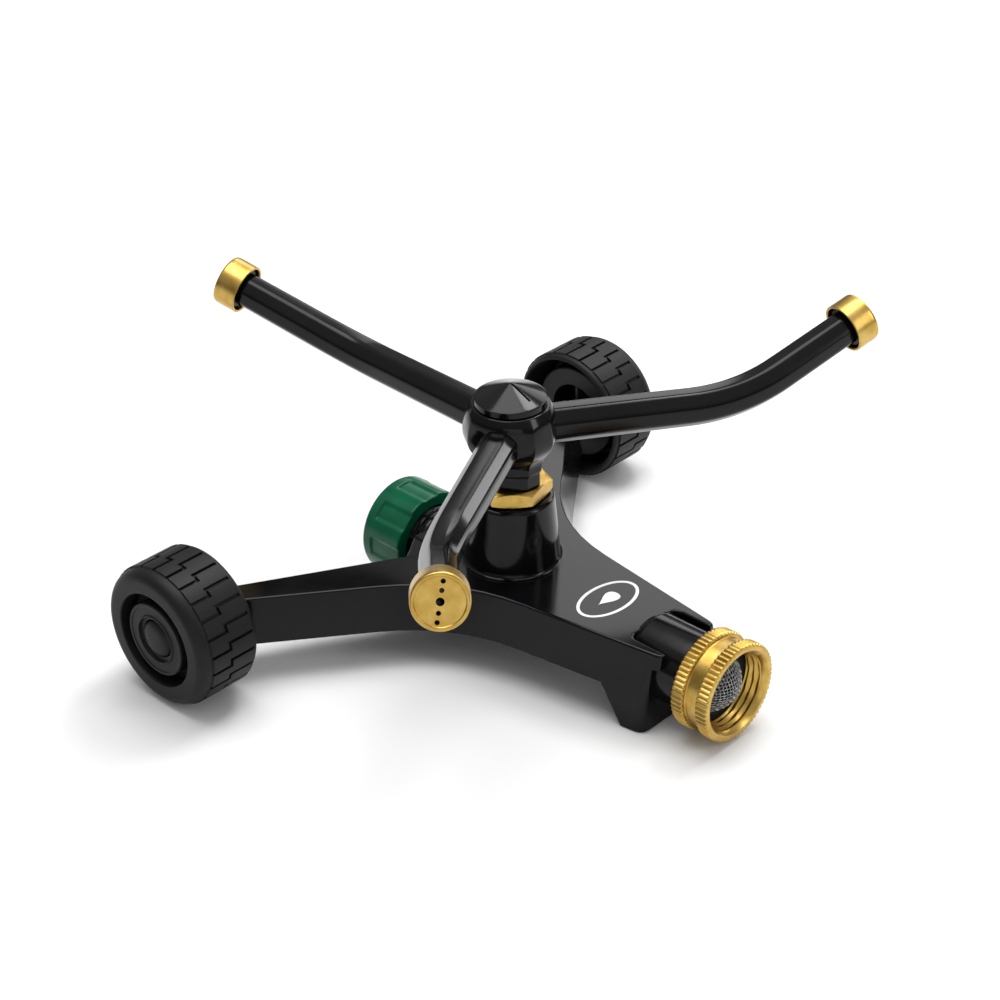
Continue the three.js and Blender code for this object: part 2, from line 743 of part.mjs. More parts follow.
// The line of an arm: straight out of the hub, one smooth bend, then straight to the nozzle.
function armLine(start, end) {
  const rootDirection = armBend.clone().sub(armRoot).normalize();
  const first = armRoot.clone().addScaledVector(rootDirection, start);
  const bendStart = armBend.clone().addScaledVector(rootDirection, -ARM.bendLength);
  const bendEnd = armBend.clone().addScaledVector(tipDirection, ARM.bendLength);
  const last = armTip.clone().addScaledVector(tipDirection, -end);
  const line = new THREE.CurvePath();
  line.add(new THREE.LineCurve3(first, bendStart));
  line.add(new THREE.QuadraticBezierCurve3(bendStart, armBend, bendEnd));
  line.add(new THREE.LineCurve3(bendEnd, last));
  return line;
}

function swept(shape, line, steps = 10) {
  return solid(new THREE.ExtrudeGeometry(shape, { steps, extrudePath: line, curveSegments: 4 }));
}

// The nozzle's face lies at 0 in its own frame, with Z pointing out of the face.
const collarHigh = -(NOZZLE.face + GAP + NOZZLE.washerThickness + GAP);
const collarLow = collarHigh - NOZZLE.collarLength;

function armTube() {
  const octagon = regularPolygon(8, ARM.acrossFlats / 2 / Math.cos(Math.PI / 8), Math.PI / 8);
  const outer = swept(octagon, armLine(ROTOR.neckRadius, -collarLow + GAP));
  const spigotEnd = ROTOR.beltRadius + ARM.spigotLength; // well inside the arm's own root
  const spigot = towardRight(disc(ARM.spigotRadius, SOCKET_START + GAP, spigotEnd, 24));
  const waterLine = armLine(SOCKET_START - OVERCUT, -collarLow - OVERCUT);
  const water = swept(regularPolygon(8, ARM.bore), waterLine);
  return outer
    .subtract(hubEnvelope(GAP))
    .add(spigot.translate([0, 0, ARM_HEIGHT]))
    .subtract(water);
}

// A bored collar that the nozzle cap screws onto, seated on the arm's end.
function nozzleCollar() {
  return ring(ARM.bore, NOZZLE.radius - NOZZLE.wall - NOZZLE.collarClearance, collarLow, collarHigh, 24);
}

function nozzleCap() {
  const { radius, length, wall, edge, face } = NOZZLE;
  let cap = turned(
    [
      [0, -face],
      [radius - wall, -face],
      [radius - wall, -length],
      [radius, -length],
      [radius, -edge],
      [radius - edge * ROUNDING, -edge * ROUNDING],
      [radius - edge, 0],
      [0, 0],
    ],
    24,
  );
  const hole = (radiusOfHole, offset) =>
    disc(radiusOfHole, -face - OVERCUT, OVERCUT, 6).translate([0, offset, 0]);
  cap = cap.subtract(hole(NOZZLE.centreHole, 0));
  for (const offset of NOZZLE.sideHolesAt) {
    for (const way of [-1, 1]) cap = cap.subtract(hole(NOZZLE.sideHole, way * offset));
  }
  return cap;
}

// Sets a group at the nozzle's face, its Z along the arm's end and its Y as upright as it can be.
function nozzleGroup(parent) {
  const side = up.clone().cross(tipDirection).normalize();
  const top = tipDirection.clone().cross(side);
  const group = new THREE.Group();
  group.position.copy(armTip);
  group.quaternion.setFromRotationMatrix(new THREE.Matrix4().makeBasis(side, top, tipDirection));
  parent.add(group);
  return group;
}

for (let i = 0; i < ARM.count; i += 1) {
  const number = i + 1;
  const arm = new THREE.Group();
  arm.rotation.z = rad(armAngle(i));
  sprinkler.add(arm);
  piece("arm_tube_" + number, armTube(), BLACK_PAINT, arm);
  const nozzle = nozzleGroup(arm);
  piece("nozzle_collar_" + number, nozzleCollar(), BLACK_PAINT, nozzle);
  const washerRadius = NOZZLE.radius - NOZZLE.wall - GAP;
  const washerTop = -(NOZZLE.face + GAP);
  piece(
    "nozzle_washer_" + number,
    ring(NOZZLE.washerBore, washerRadius, washerTop - NOZZLE.washerThickness, washerTop),
    RUBBER,
    nozzle,
  );
  const cap = piece("nozzle_cap_" + number, nozzleCap(), BRASS, nozzle);
  cap.rotation.z = rad(NOZZLE.lean);
}

// ---------------------------------------------------------------- wheels

const hubFace = WHEEL.width / 2;
const discFace = hubFace - WHEEL.discSetback;

// The leg's end face and the end of the wheel's inner tube, which leaves room for a washer between them.
const legFace = -(TRACK_HALF - BASE.legEnd);
const tubeEnd = legFace + WHEEL_WASHER.thickness + 2 * GAP;

// A wheel about Z with its outer side up, tread and disc moulded in one.
function wheel() {
  const { radius, outerShoulder, innerShoulder, outerRecess, innerRecess } = WHEEL;
  const bore = AXLE.radius + GAP;
  // the tread is rounded over to each side face
  const shoulder = (edge, side) =>
    quarter(radius, edge.radius, side * (hubFace - edge.width), side * edge.width, 3);
  return turned(
    [
      [bore, tubeEnd],
      [innerRecess.inner, tubeEnd],
      [innerRecess.inner, -hubFace + innerRecess.depth],
      [innerRecess.outer - innerRecess.draft, -hubFace + innerRecess.depth],
      [innerRecess.outer, -hubFace + innerRecess.draft],
      [innerRecess.outer, -hubFace],
      ...shoulder(innerShoulder, -1).reverse(),
      ...shoulder(outerShoulder, 1),
      [outerRecess.outer, hubFace],
      [outerRecess.outer, hubFace - outerRecess.depth],
      [outerRecess.inner, hubFace - outerRecess.depth],
      [outerRecess.inner, discFace],
      [WHEEL.capSocketRadius, discFace],
      [WHEEL.capSocketRadius, hubFace - WHEEL.capSocketDepth],
      [bore, hubFace - WHEEL.capSocketDepth],
      [bore, tubeEnd],
    ],
    28,
  );
}

const socketFloor = hubFace - WHEEL.capSocketDepth;

function axle() {
  return turned(
    [
      [0, legFace - AXLE.insertion],
      [AXLE.radius, legFace - AXLE.insertion],
      [AXLE.radius, socketFloor + GAP],
      [AXLE.headRadius, socketFloor + GAP],
      [AXLE.headRadius, socketFloor + GAP + AXLE.headThickness],
      [0, socketFloor + GAP + AXLE.headThickness],
    ],
    24,
  );
}

function hubCap() {
  const low = socketFloor + AXLE.headThickness + 2 * GAP;
  const radius = WHEEL.capSocketRadius - GAP;
  const dome = quarter(radius, 0, discFace - HUB_CAP.rim, HUB_CAP.dome);
  return turned([[0, low], [radius, low], ...dome], 32);
}

for (const [name, side] of [["left", -1], ["right", 1]]) {
  const station = new THREE.Group();
  station.position.set(side * TRACK_HALF, WHEEL.setback, WHEEL.radius);
  station.rotation.y = (side * Math.PI) / 2; // Z points outwards along the axle
  sprinkler.add(station);
  piece("wheel_" + name, wheel(), WHEEL_PLASTIC, station);
  piece("axle_" + name, axle(), STEEL, station);
  piece("hub_cap_" + name, hubCap(), WHEEL_PLASTIC, station);
  const washer = ring(AXLE.radius + GAP, WHEEL_WASHER.radius, legFace + GAP, tubeEnd - GAP, 24);
  piece("wheel_washer_" + name, washer, NYLON, station);
}

// ---------------------------------------------------------------- the part

sprinkler.position.y = FOOT.front - FOOT.soleLength / 2;
const part = new THREE.Group();
part.add(sprinkler);

export default part;
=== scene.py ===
# %% [markdown]
# # A three-arm lawn sprinkler
# The sprinkler stands on a cast base with two wheels and a foot. Its working sizes come from the
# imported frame, and this lesson builds the fine outer surfaces around it: rounded castings,
# knurled brass, a woven screen and grooved wheels. Every new surface is a grid of points worked
# out with numpy.

# %% Load the frame
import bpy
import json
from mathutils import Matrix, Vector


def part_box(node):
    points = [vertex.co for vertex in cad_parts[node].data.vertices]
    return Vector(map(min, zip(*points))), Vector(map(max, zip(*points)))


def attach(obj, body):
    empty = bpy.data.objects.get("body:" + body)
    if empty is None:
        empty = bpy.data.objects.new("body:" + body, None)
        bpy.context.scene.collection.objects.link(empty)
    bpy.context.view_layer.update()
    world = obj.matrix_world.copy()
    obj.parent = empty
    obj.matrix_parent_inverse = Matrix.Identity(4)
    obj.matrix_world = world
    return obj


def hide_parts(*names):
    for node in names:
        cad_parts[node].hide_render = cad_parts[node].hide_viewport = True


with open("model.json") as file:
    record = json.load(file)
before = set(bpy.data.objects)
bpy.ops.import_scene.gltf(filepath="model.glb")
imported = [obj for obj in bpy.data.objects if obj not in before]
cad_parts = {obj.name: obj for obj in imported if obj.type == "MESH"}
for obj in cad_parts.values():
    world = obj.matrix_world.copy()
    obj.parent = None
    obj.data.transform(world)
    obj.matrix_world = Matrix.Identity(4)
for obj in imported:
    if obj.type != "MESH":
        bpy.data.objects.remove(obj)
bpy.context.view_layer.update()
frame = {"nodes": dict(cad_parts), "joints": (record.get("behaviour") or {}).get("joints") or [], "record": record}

import json
import math

import bmesh
import bpy
import numpy as np
from mathutils import Matrix, Vector
from mathutils.geometry import tessellate_polygon

MM = 0.001  # one millimetre in Blender's metres

# %% [markdown]
# ## Where things are
# A real assembly is measured from its axles. The places of the rotor's axis, the waterway, the
# wheels and the nozzles are read from the frame's joints, and the ends of pieces from the boxes
# of the CAD nodes, so nothing has to be fitted by eye. All the shapes below are in millimetres.


# %% Places from the frame
def box_mm(node):
    """Lowest and highest corner of a CAD node, in millimetres."""
    return [np.array(corner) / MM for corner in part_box(node)]


def joint_mm(name):
    """A joint's place in millimetres and the direction of its axis."""
    joint = next(j for j in frame["joints"] if j["name"] == name)
    return np.array(joint["pos_m"]) / MM, np.array(joint["axis"], float)


ROTOR_AT, UP = joint_mm("head_spin")
AXIS = np.array([ROTOR_AT[0], ROTOR_AT[1], 0.0])  # the rotor's axis on the ground
ARM_HEIGHT = ROTOR_AT[2]
WATER_HEIGHT = joint_mm("coupling_swivel")[0][2]
WHEEL_AT = {side: joint_mm(f"wheel_{side}_roll")[0] for side in ("left", "right")}
AXLE_COVER = 4.2  # metal above the axles
PLATE_TOP = WHEEL_AT["left"][2] + AXLE_COVER
NUT_TOP = box_mm("bearing_nut")[1][2]
HUB_LOW, HUB_HIGH = box_mm("rotor_hub")[0][2], box_mm("rotor_hub")[1][2]
COUPLING_BACK = box_mm("hose_coupling")[1][1]
CAP_END = box_mm("end_cap")[1][1]
print("rotor axis", AXIS, "arms at", ARM_HEIGHT, "plate top", PLATE_TOP, "waterway", WATER_HEIGHT)

# %% [markdown]
# ## From formulas to meshes
# A surface is a function of two parameters sampled on a grid. Rows of points close into rings,
# neighbouring rows are joined by quads, and the first and last row are shut by a cap or shrink to
# a point. Working on whole arrays keeps the formulas readable and quick, where spinning or
# extruding by hand would need many small edits.


# %% Grids, rounded corners and turned profiles
def skin(rows, ring=False, caps=False):
    """Quads between neighbouring closed rows, from an array of (rows, columns, 3). A ring joins
    last to first."""
    count, columns = rows.shape[:2]
    row = np.arange(count if ring else count - 1)[:, None]
    column = np.arange(columns)[None, :]
    here, above = row * columns, (row + 1) % count * columns
    beside = (column + 1) % columns
    quads = np.stack([here + column, here + beside, above + beside, above + column], -1)
    faces = quads.reshape(-1, 4).tolist()
    if caps:
        faces.append(list(range(columns))[::-1])
        faces.append(list(range((count - 1) * columns, count * columns)))
    return rows.reshape(-1, 3), faces


def around(radius, angle, height):
    """A grid of points at x = r cos a, y = r sin a, z = h."""
    return np.stack(np.broadcast_arrays(radius * np.cos(angle), radius * np.sin(angle), height), -1)


def lifted(flat, height):
    """Flat points (x, y) at one height, or any two columns with a third."""
    return np.column_stack([flat, np.full(len(flat), float(height))])


def joined(shells):
    """Several shells of (points, faces, ...) as one."""
    starts = np.cumsum([0] + [len(shell[0]) for shell in shells])
    faces = [[i + start for i in face] for shell, start in zip(shells, starts) for face in shell[1]]
    return np.vstack([shell[0] for shell in shells]), faces


def bent(corners, steps=5, closed=True):
    """Points through corners given as (place..., reach). Each corner is rounded by the curve
    (1-t)^2 before + 2t(1-t) corner + t^2 after, where before and after lie `reach` away on its
    two sides."""
    corners = np.asarray(corners, float)
    here, reach = corners[:, :-1], corners[:, -1]
    sides = []
    for shift in (1, -1):
        way = np.roll(here, shift, 0) - here
        length = np.maximum(np.linalg.norm(way, axis=1), 1e-9)
        used = np.minimum(reach, 0.49 * length)  # two roundings share a side, so less than half
        sides.append(here + way * (used / length)[:, None])
    if not closed:
        for side in sides:
            side[[0, -1]] = here[[0, -1]]
    t = np.linspace(0, 1, steps)[None, :, None]
    before, after = sides[0][:, None], sides[1][:, None]
    curve = (1 - t) ** 2 * before + 2 * t * (1 - t) * here[:, None] + t**2 * after
    return curve.reshape(-1, here.shape[1])


def unrepeated(points):
    """The same points without those that repeat the one before."""
    gap = np.linalg.norm(np.diff(points, axis=0), axis=1)
    return points[np.concatenate([[True], gap > 1e-6])]


def turned(profile, columns=96, ripple=None, steps=5):
    """A profile of (radius, height, rounding) turned about z: x = r cos a, y = r sin a, z = h.
    A profile that starts on the axis is open, any other closes into a ring. ripple(a, r, h) is
    added to r."""
    closed = profile[0][0] > 0
    radius, height = unrepeated(bent(profile, steps, closed)).T[:, :, None]
    angle = np.linspace(0, 2 * np.pi, columns, endpoint=False)[None, :]
    if ripple:
        radius = radius + ripple(angle, radius, height)
    return skin(around(radius, angle, height), ring=closed)


def seat(shell, origin, axes=np.eye(3)):
    """A shell moved to its place: origin + x axis1 + y axis2 + z axis3. Its own place is kept, for
    patterns."""
    points, faces = shell
    return np.asarray(origin) + points @ np.asarray(axes), faces, points


FACING_FRONT = np.array([[1, 0, 0], [0, 0, 1], [0, -1, 0]])  # own z points along -Y
FACING_REAR = np.array([[-1, 0, 0], [0, 0, 1], [0, 1, 0]])  # own z points along +Y
print("helpers ready")

# %% [markdown]
# ## Finishes
# Each finish is a small node tree named for what the real surface is. Colours are written as the
# hex values a designer would use and turned to linear light by one function. Pattern scales come
# from real sizes in millimetres.


# %% Colour and node helpers
def linear(colour):
    """An sRGB hex value as linear red, green, blue and alpha."""
    channels = np.array([int(colour[i : i + 2], 16) for i in (1, 3, 5)]) / 255
    low, high = channels / 12.92, ((channels + 0.055) / 1.055) ** 2.4
    return (*np.where(channels <= 0.04045, low, high).tolist(), 1.0)


def add_node(tree, kind, inputs=None, **settings):
    """Adds a node. Each input is a plain value, or an output socket to link from."""
    made = tree.nodes.new("ShaderNode" + kind)
    for name, value in settings.items():
        setattr(made, name, value)
    for name, value in (inputs or {}).items():
        if isinstance(value, bpy.types.NodeSocket):
            tree.links.new(value, made.inputs[name])
        else:
            made.inputs[name].default_value = value
    return made


def new_finish(name, **sockets):
    """A material with one Principled shader whose sockets are set by their names."""
    material = bpy.data.materials.new(name)
    material.use_nodes = True
    tree = material.node_tree
    tree.nodes.clear()
    values = {key.replace("_", " "): value for key, value in sockets.items()}
    shader = add_node(tree, "BsdfPrincipled", values)
    output = add_node(tree, "OutputMaterial")
    tree.links.new(shader.outputs[0], output.inputs["Surface"])
    return material, tree, shader


def per_mm(size):
    """A noise scale, in cycles per metre, for a pattern whose grains are this many millimetres."""
    return 1 / (size * MM)


def blend_colours(tree, factor, first, second):
    """A colour that runs from one hex value to another with a factor."""
    ramp = add_node(tree, "ValToRGB", {"Fac": factor})
    for element, place, colour in zip(ramp.color_ramp.elements, (0.3, 0.7), (first, second)):
        element.position = place
        element.color = linear(colour)
    return ramp.outputs["Color"]


def spread(tree, factor, low, high):
    """A number that runs from low to high as the factor goes from 0 to 1."""
    mapped = add_node(tree, "MapRange", {"Value": factor, "To Min": low, "To Max": high})
    return mapped.outputs["Result"]


def noise(tree, place, scale, detail):
    """A soft random pattern between 0 and 1."""
    made = add_node(tree, "TexNoise", {"Vector": place, "Scale": scale, "Detail": detail})
    return made.outputs["Fac"]


def dress(tree, shader, shades, cloud, roughness, gloss, bump, grain):
    """Links a pattern to each input: cloud sets the colour, gloss the roughness and grain the
    bump, which is given as (strength, height in mm)."""
    relief = {"Height": grain, "Strength": bump[0], "Distance": bump[1] * MM}
    normal = add_node(tree, "Bump", relief).outputs["Normal"]
    tree.links.new(blend_colours(tree, cloud, *shades), shader.inputs["Base Color"])
    tree.links.new(spread(tree, gloss, *roughness), shader.inputs["Roughness"])
    tree.links.new(normal, shader.inputs["Normal"])


# %% [markdown]
# The base, the rotor and the arms are zinc castings under a gloss black baked enamel. Baked
# enamel is a thick smooth coat, so it mirrors the lights, but it pulls together into a faint
# "orange peel" a millimetre or two wide, and that is what makes its highlights swim a little.


# %% Baked enamel
def baked_enamel():
    """Deep black with a mirror-like coat. The peel's grains are 2.2 mm, and clouds of 14 mm, where
    hands and baking leave the gloss uneven, change its roughness a little."""
    look = {"IOR": 1.5, "Specular_IOR_Level": 0.22}
    material, tree, shader = new_finish("gloss_black_baked_enamel", **look)
    place = add_node(tree, "TexCoord").outputs["Object"]
    peel = noise(tree, place, per_mm(2.2), 2.0)
    cloud = noise(tree, place, per_mm(14), 3.0)
    dress(tree, shader, ("#050506", "#0b0b0d"), cloud, (0.1, 0.18), cloud, (0.12, 0.05), peel)
    return material


# %% [markdown]
# The coupling, nut and nozzles are turned brass. The tool leaves fine rings around the axis of
# each piece, so the pattern reads the piece's own coordinates, kept in an attribute, and varies
# only with the distance from the axis and the height along it.

# %% Turned brass
TOOL_MARK = 0.2  # mm between rings, a little coarser than the real feed so that they show
STAIN = 4.5  # mm across a patch where the brass has dulled


def turned_brass():
    """Satin yellow metal: a noise of (distance from axis, height) makes the rings."""
    material, tree, shader = new_finish("turned_brass", Metallic=1.0)
    own = add_node(tree, "Attribute", attribute_name="own").outputs["Vector"]
    split = add_node(tree, "SeparateXYZ", {"Vector": own})
    flat = add_node(tree, "CombineXYZ", {"X": split.outputs["X"], "Y": split.outputs["Y"]})
    radius = add_node(tree, "VectorMath", {"Vector": flat.outputs[0]}, operation="LENGTH")
    rings = add_node(tree, "CombineXYZ", {"X": radius.outputs["Value"], "Y": split.outputs["Z"]})
    lines = noise(tree, rings.outputs[0], 1 / TOOL_MARK, 4.0)
    stain = noise(tree, own, 1 / STAIN, 3.0)
    dress(tree, shader, ("#b38f42", "#cbab60"), stain, (0.2, 0.42), lines, (0.25, 0.04), lines)
    return material


# %% [markdown]
# The wheels are moulded in black polypropylene from a mould with a fine spark-eroded grain. The
# end cap is green ABS with a smoother grain. Rubber is duller still, and all of these differ only
# in colour, gloss and the size and depth of their grain, so one function makes them.


# %% Moulded plastics, rubber, steel and print
def moulded(name, dark, light, roughness, grain, depth, specular=0.2):
    """Two close shades in clouds of 9 mm, and a grain of this size and depth in mm."""
    material, tree, shader = new_finish(name, Specular_IOR_Level=specular)
    place = add_node(tree, "TexCoord").outputs["Object"]
    fine = noise(tree, place, per_mm(grain), 2.0)
    cloud = noise(tree, place, per_mm(9), 3.0)
    dress(tree, shader, (dark, light), cloud, roughness, cloud, (0.3, depth), fine)
    return material


def drawn_steel(name, colour, roughness):
    """Bright steel. Drawing through a die leaves fine marks that vary its gloss."""
    material, tree, shader = new_finish(name, Metallic=1.0)
    place = add_node(tree, "TexCoord").outputs["Object"]
    marks = noise(tree, place, per_mm(0.8), 3.0)
    tree.links.new(blend_colours(tree, marks, colour, "#d5d7d9"), shader.inputs["Base Color"])
    tree.links.new(spread(tree, marks, *roughness), shader.inputs["Roughness"])
    return material


ENAMEL = baked_enamel()
BRASS = turned_brass()
# ABS from a polished mould: deep green with clear highlights
GREEN_ABS = moulded("green_moulded_abs", "#005034", "#006040", (0.2, 0.3), 0.7, 0.02, 0.26)
# polypropylene from a grained mould: a satin black that hides scratches
WHEEL_PLASTIC = moulded(
    "black_moulded_polypropylene", "#111112", "#181819", (0.42, 0.55), 0.6, 0.04
)
# moulded nylon: a little glossier than the wheels, and ivory where no black is mixed in
BLACK_NYLON = moulded("black_moulded_nylon", "#101011", "#19191a", (0.35, 0.5), 0.6, 0.03)
NATURAL_NYLON = moulded("natural_nylon", "#d8d2c2", "#e8e4d8", (0.4, 0.5), 0.6, 0.03)
# nitrile rubber: a dull soft black
RUBBER = moulded("black_nitrile_rubber", "#0c0c0c", "#151515", (0.6, 0.75), 0.5, 0.05)
# drawn steel, and stainless wire that has dulled in water
STEEL = drawn_steel("drawn_steel_pin", "#a9adb1", (0.22, 0.35))
SCREEN_WIRE = drawn_steel("stainless_screen_wire", "#85888b", (0.25, 0.4))
# pad print: a thin flat layer of ink
PAD_PRINT = moulded("white_pad_print", "#d9d9d9", "#e6e6e6", (0.4, 0.5), 0.5, 0.01)
print(len(bpy.data.materials), "finishes")

# %% [markdown]
# ## One function for every new piece
# A piece may be several closed shells, such as the plate, tower and barrel of one casting. They
# become one mesh: doubled points are merged so that seams and poles close, the faces are turned
# outwards, and edges sharper than a limit stay crisp. Weighted normals keep the broad flat faces
# looking flat beside their rounded edges. The piece then rides on its CAD body and stands for its
# CAD nodes.


# %% Making a piece
def new_object(name, data):
    """An object with this mesh, lamp or camera, in the scene."""
    made = bpy.data.objects.new(name, data)
    bpy.context.scene.collection.objects.link(made)
    return made


def piece(name, shells, material, body, replaced=(), crisp=32):
    """Joins shells of (points, faces, own points), in millimetres, into one named object."""
    points, faces = joined(shells)
    mesh = bpy.data.meshes.new(name)
    mesh.from_pydata((points * MM).tolist(), [], faces)
    own = mesh.attributes.new("own", "FLOAT_VECTOR", "POINT")
    own.data.foreach_set("vector", np.vstack([s[2] for s in shells]).ravel())
    work = bmesh.new()
    work.from_mesh(mesh)
    bmesh.ops.remove_doubles(work, verts=work.verts, dist=2e-6)
    bmesh.ops.dissolve_degenerate(work, edges=work.edges, dist=1e-6)
    bmesh.ops.recalc_face_normals(work, faces=work.faces)
    work.to_mesh(mesh)
    open_edges = sum(not edge.is_manifold for edge in work.edges)
    work.free()
    mesh.shade_smooth()
    mesh.set_sharp_from_angle(angle=math.radians(crisp))
    mesh.materials.append(material)
    made = new_object(name, mesh)
    weighted = made.modifiers.new("flat_faces_stay_flat", "WEIGHTED_NORMAL")
    weighted.keep_sharp = True
    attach(made, body)
    if replaced:
        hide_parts(*replaced)
    print(f"{name}: {len(mesh.polygons)} faces, {open_edges} open edges")
    return made


# %% [markdown]
# ## The cast base
# The base is one casting: a flat plate whose walls lean out for the mould, a foot, a tower for
# the rotor and a tube for the water. Modelling it as one block and cutting it with booleans would
# leave ragged normals. Here the plate's outer skin is a stack of outlines with the same number of
# points. Going down from the top face, the outline leans outwards, steps back under the two
# prongs, closes the slot above the barrel, runs down to the foot's sole, and turns in under the
# walls to the hollow's ceiling.

# %% Sizes of the base
PLATE_DEPTH = 15.0
LEAN = 4.0  # how far a wall leans out over the plate's depth
EDGE = 0.95  # rounding of the top edges
EDGE_INSET = 0.768  # how far the flat top stays inside the wall, as a share of the rounding
UPRIGHT_EDGE_WIDTH = 0.795  # the rounding is narrower where the wall doesn't lean
PRONG_DEPTH = 5.0
PRONG_END = 75.5  # from the rotor's axis
FOOT_FRONT = 72.8
SOLE_BACK, KNEE_BACK = 63.8, 55.8
FOOT_LEAN = 4.9
SLOT_HALF, SLOT_START = 10.7, 60.5
FRONT_HALF, WAIST_HALF, WAIST_BACK = 12.9, 23.8, 2.7
LEG_END, LEG_NEAR, LEG_FAR = 86.0, 51.0, 60.2
TAIL_HALF, TAIL_ROOT, TAIL_END = 14.5, 19.0, 32.5
WALL, CEILING = 2.6, 3.0
SOLID_LEG_END = 15.0


def side_x(y):
    """Half width of the front arm at a distance along it: a straight line from prong to waist."""
    return FRONT_HALF + (y + PRONG_END) * (WAIST_HALF - FRONT_HALF) / (PRONG_END + WAIST_BACK)


# corner: (x, y, rounding) for the right half, from the prong round to the tail
RIGHT = [
    (None, None, 3.4), (side_x(-SOLE_BACK), -SOLE_BACK, 0), (side_x(-KNEE_BACK), -KNEE_BACK, 0),
    (WAIST_HALF, WAIST_BACK, 26), (LEG_END, LEG_NEAR, 1.4), (LEG_END, LEG_FAR, 1.4),
    (TAIL_HALF, TAIL_ROOT, 6), (TAIL_HALF, TAIL_END, 2),
]
REACH = np.array([c[2] for c in RIGHT] + [c[2] for c in RIGHT[::-1]] + [0.5, 4, 4, 0.5])
COUNT = len(REACH)
UPRIGHT_EDGES = [4, 10, 15, 16, 17, 18, 19]  # leg ends, prong ends and slot: they don't lean
LEG_END_EDGES = [4, 10]
FOOT_FRONT_CORNERS = [0, 15, 16, 17, 18, 19]
FOOT_CORNERS = [0, 1, 14, 15, 16, 17, 18, 19]
print("corners of the plate:", COUNT)


# %% Outlines of the plate
def plate_corners(front, slot_back):
    """The plate's corners, counter-clockwise: right side, its mirror image, then the slot."""
    right = np.array([(side_x(-front), -front)] + [c[:2] for c in RIGHT[1:]], float)
    left = right[::-1] * (-1, 1)
    across, along = (-1, -1, 1, 1), (-front, slot_back, slot_back, -front)
    slot = np.column_stack([np.multiply(SLOT_HALF, across), along])
    return np.vstack([right, left, slot])


def moved_edges(corners, moves):
    """Every edge moved outwards by its own distance: a corner's shift is the vector whose parts
    along the normals of its two edges are those edges' distances."""
    way = np.roll(corners, -1, 0) - corners
    way /= np.linalg.norm(way, axis=1)[:, None]
    normal = np.stack([way[:, 1], -way[:, 0]], 1)
    pairs = np.stack([np.roll(normal, 1, 0), normal], 1)
    wanted = np.stack([np.roll(moves, 1), moves], 1)[..., None]
    return corners + (np.linalg.pinv(pairs, rcond=0.05) @ wanted)[..., 0]


def outline(front, slot_back, lean, upright, height, leg_end=None):
    """One row of corners (x, y, z), with leaning and upright edges moved by their own amounts."""
    moves = np.full(COUNT, float(lean))
    moves[UPRIGHT_EDGES] = upright
    if leg_end is not None:
        moves[LEG_END_EDGES] = leg_end
    flat = moved_edges(plate_corners(front, slot_back), moves)
    return lifted(flat, height)


def plate_shell():
    """The stack of rows, from the flat top to the hollow's ceiling. The top edge is an ellipse
    that ends at 75 degrees, where the wall's lean takes over."""
    bottom = PLATE_TOP - PLATE_DEPTH
    open_slot, no_slot = -SLOT_START, -FOOT_FRONT + 0.02
    lean_at = lambda height: LEAN * (PLATE_TOP - height) / PLATE_DEPTH
    rows = []
    for angle in np.radians(np.linspace(0, 75, 7)):
        out = EDGE * (np.sin(angle) - EDGE_INSET)
        level = EDGE * (UPRIGHT_EDGE_WIDTH * np.sin(angle) - EDGE_INSET)
        height = PLATE_TOP - EDGE * (1 - np.cos(angle))
        rows.append(outline(PRONG_END, open_slot, out, level, height))
    prong_low = PLATE_TOP - PRONG_DEPTH
    for front, slot, height in (
        (PRONG_END, open_slot, prong_low), (FOOT_FRONT, open_slot, prong_low),
        (FOOT_FRONT, open_slot, WATER_HEIGHT), (FOOT_FRONT, no_slot, WATER_HEIGHT),
    ):
        rows.append(outline(front, slot, lean_at(height), 0, height))
    skirt = outline(FOOT_FRONT, no_slot, LEAN, 0, bottom)
    rows.append(skirt)
    sole_edge = ((0, 0.9), (0.2, 0.25), (0.8, 0))  # (inset, height) of the rounding at the sole
    for inset, height in sole_edge:
        lean, upright = FOOT_LEAN - inset, -inset
        row = skirt.copy()
        row[FOOT_CORNERS] = outline(FOOT_FRONT, no_slot, lean, upright, height)[FOOT_CORNERS]
        rows.append(row)
    sole = rows[-1].copy()
    sole[FOOT_FRONT_CORNERS, 1] = -SOLE_BACK
    rows.append(sole)
    share = sole[FOOT_CORNERS, 0] / sole[1, 0]
    for lean, leg_end, height in (
        (LEAN, 0, bottom), (LEAN - WALL, -SOLID_LEG_END, bottom),
        (lean_at(PLATE_TOP - CEILING) - WALL, -SOLID_LEG_END, PLATE_TOP - CEILING),
    ):
        row = outline(FOOT_FRONT, no_slot, lean, 0, height, leg_end)
        knee = row[2].copy()
        row[FOOT_CORNERS] = knee
        row[FOOT_CORNERS, 0] *= share
        rows.append(row)
    curved = [bent(np.column_stack([row, REACH]), steps=8) for row in rows]
    return skin(np.array(curved), caps=True)


# %% [markdown]
# The tower, the water tubes and the axle bosses are turned shapes. The tower flares where it
# meets the plate, as a casting does where a mould cutter leaves a fillet. Below the plate the
# water tube is flattened on top, because it hangs from the plate's underside. The neck of the
# second outlet carries a hose thread: its radius follows a rounded wave that moves one pitch
# along the axis for each turn.

# %% Tower, tubes and bosses
TOWER_ROOT, TOWER_TOP, TOWER_FILLET, TOWER_EDGE = 16.0, 14.0, 1.8, 1.5
TOWER_HIGH = PLATE_TOP + 23.8
WELL = 7.9
BARREL = 13.1
BORE = 9.0
BARREL_FRONT = AXIS[1] - COUPLING_BACK - 0.3  # from the rotor's axis forward
HOSE_PITCH = 25.4 / 11.5
NECK, NECK_END, THREAD_HEIGHT = 12.4, 50.0, 0.42
BOSS, BOSS_BORE = 4.2, 2.9


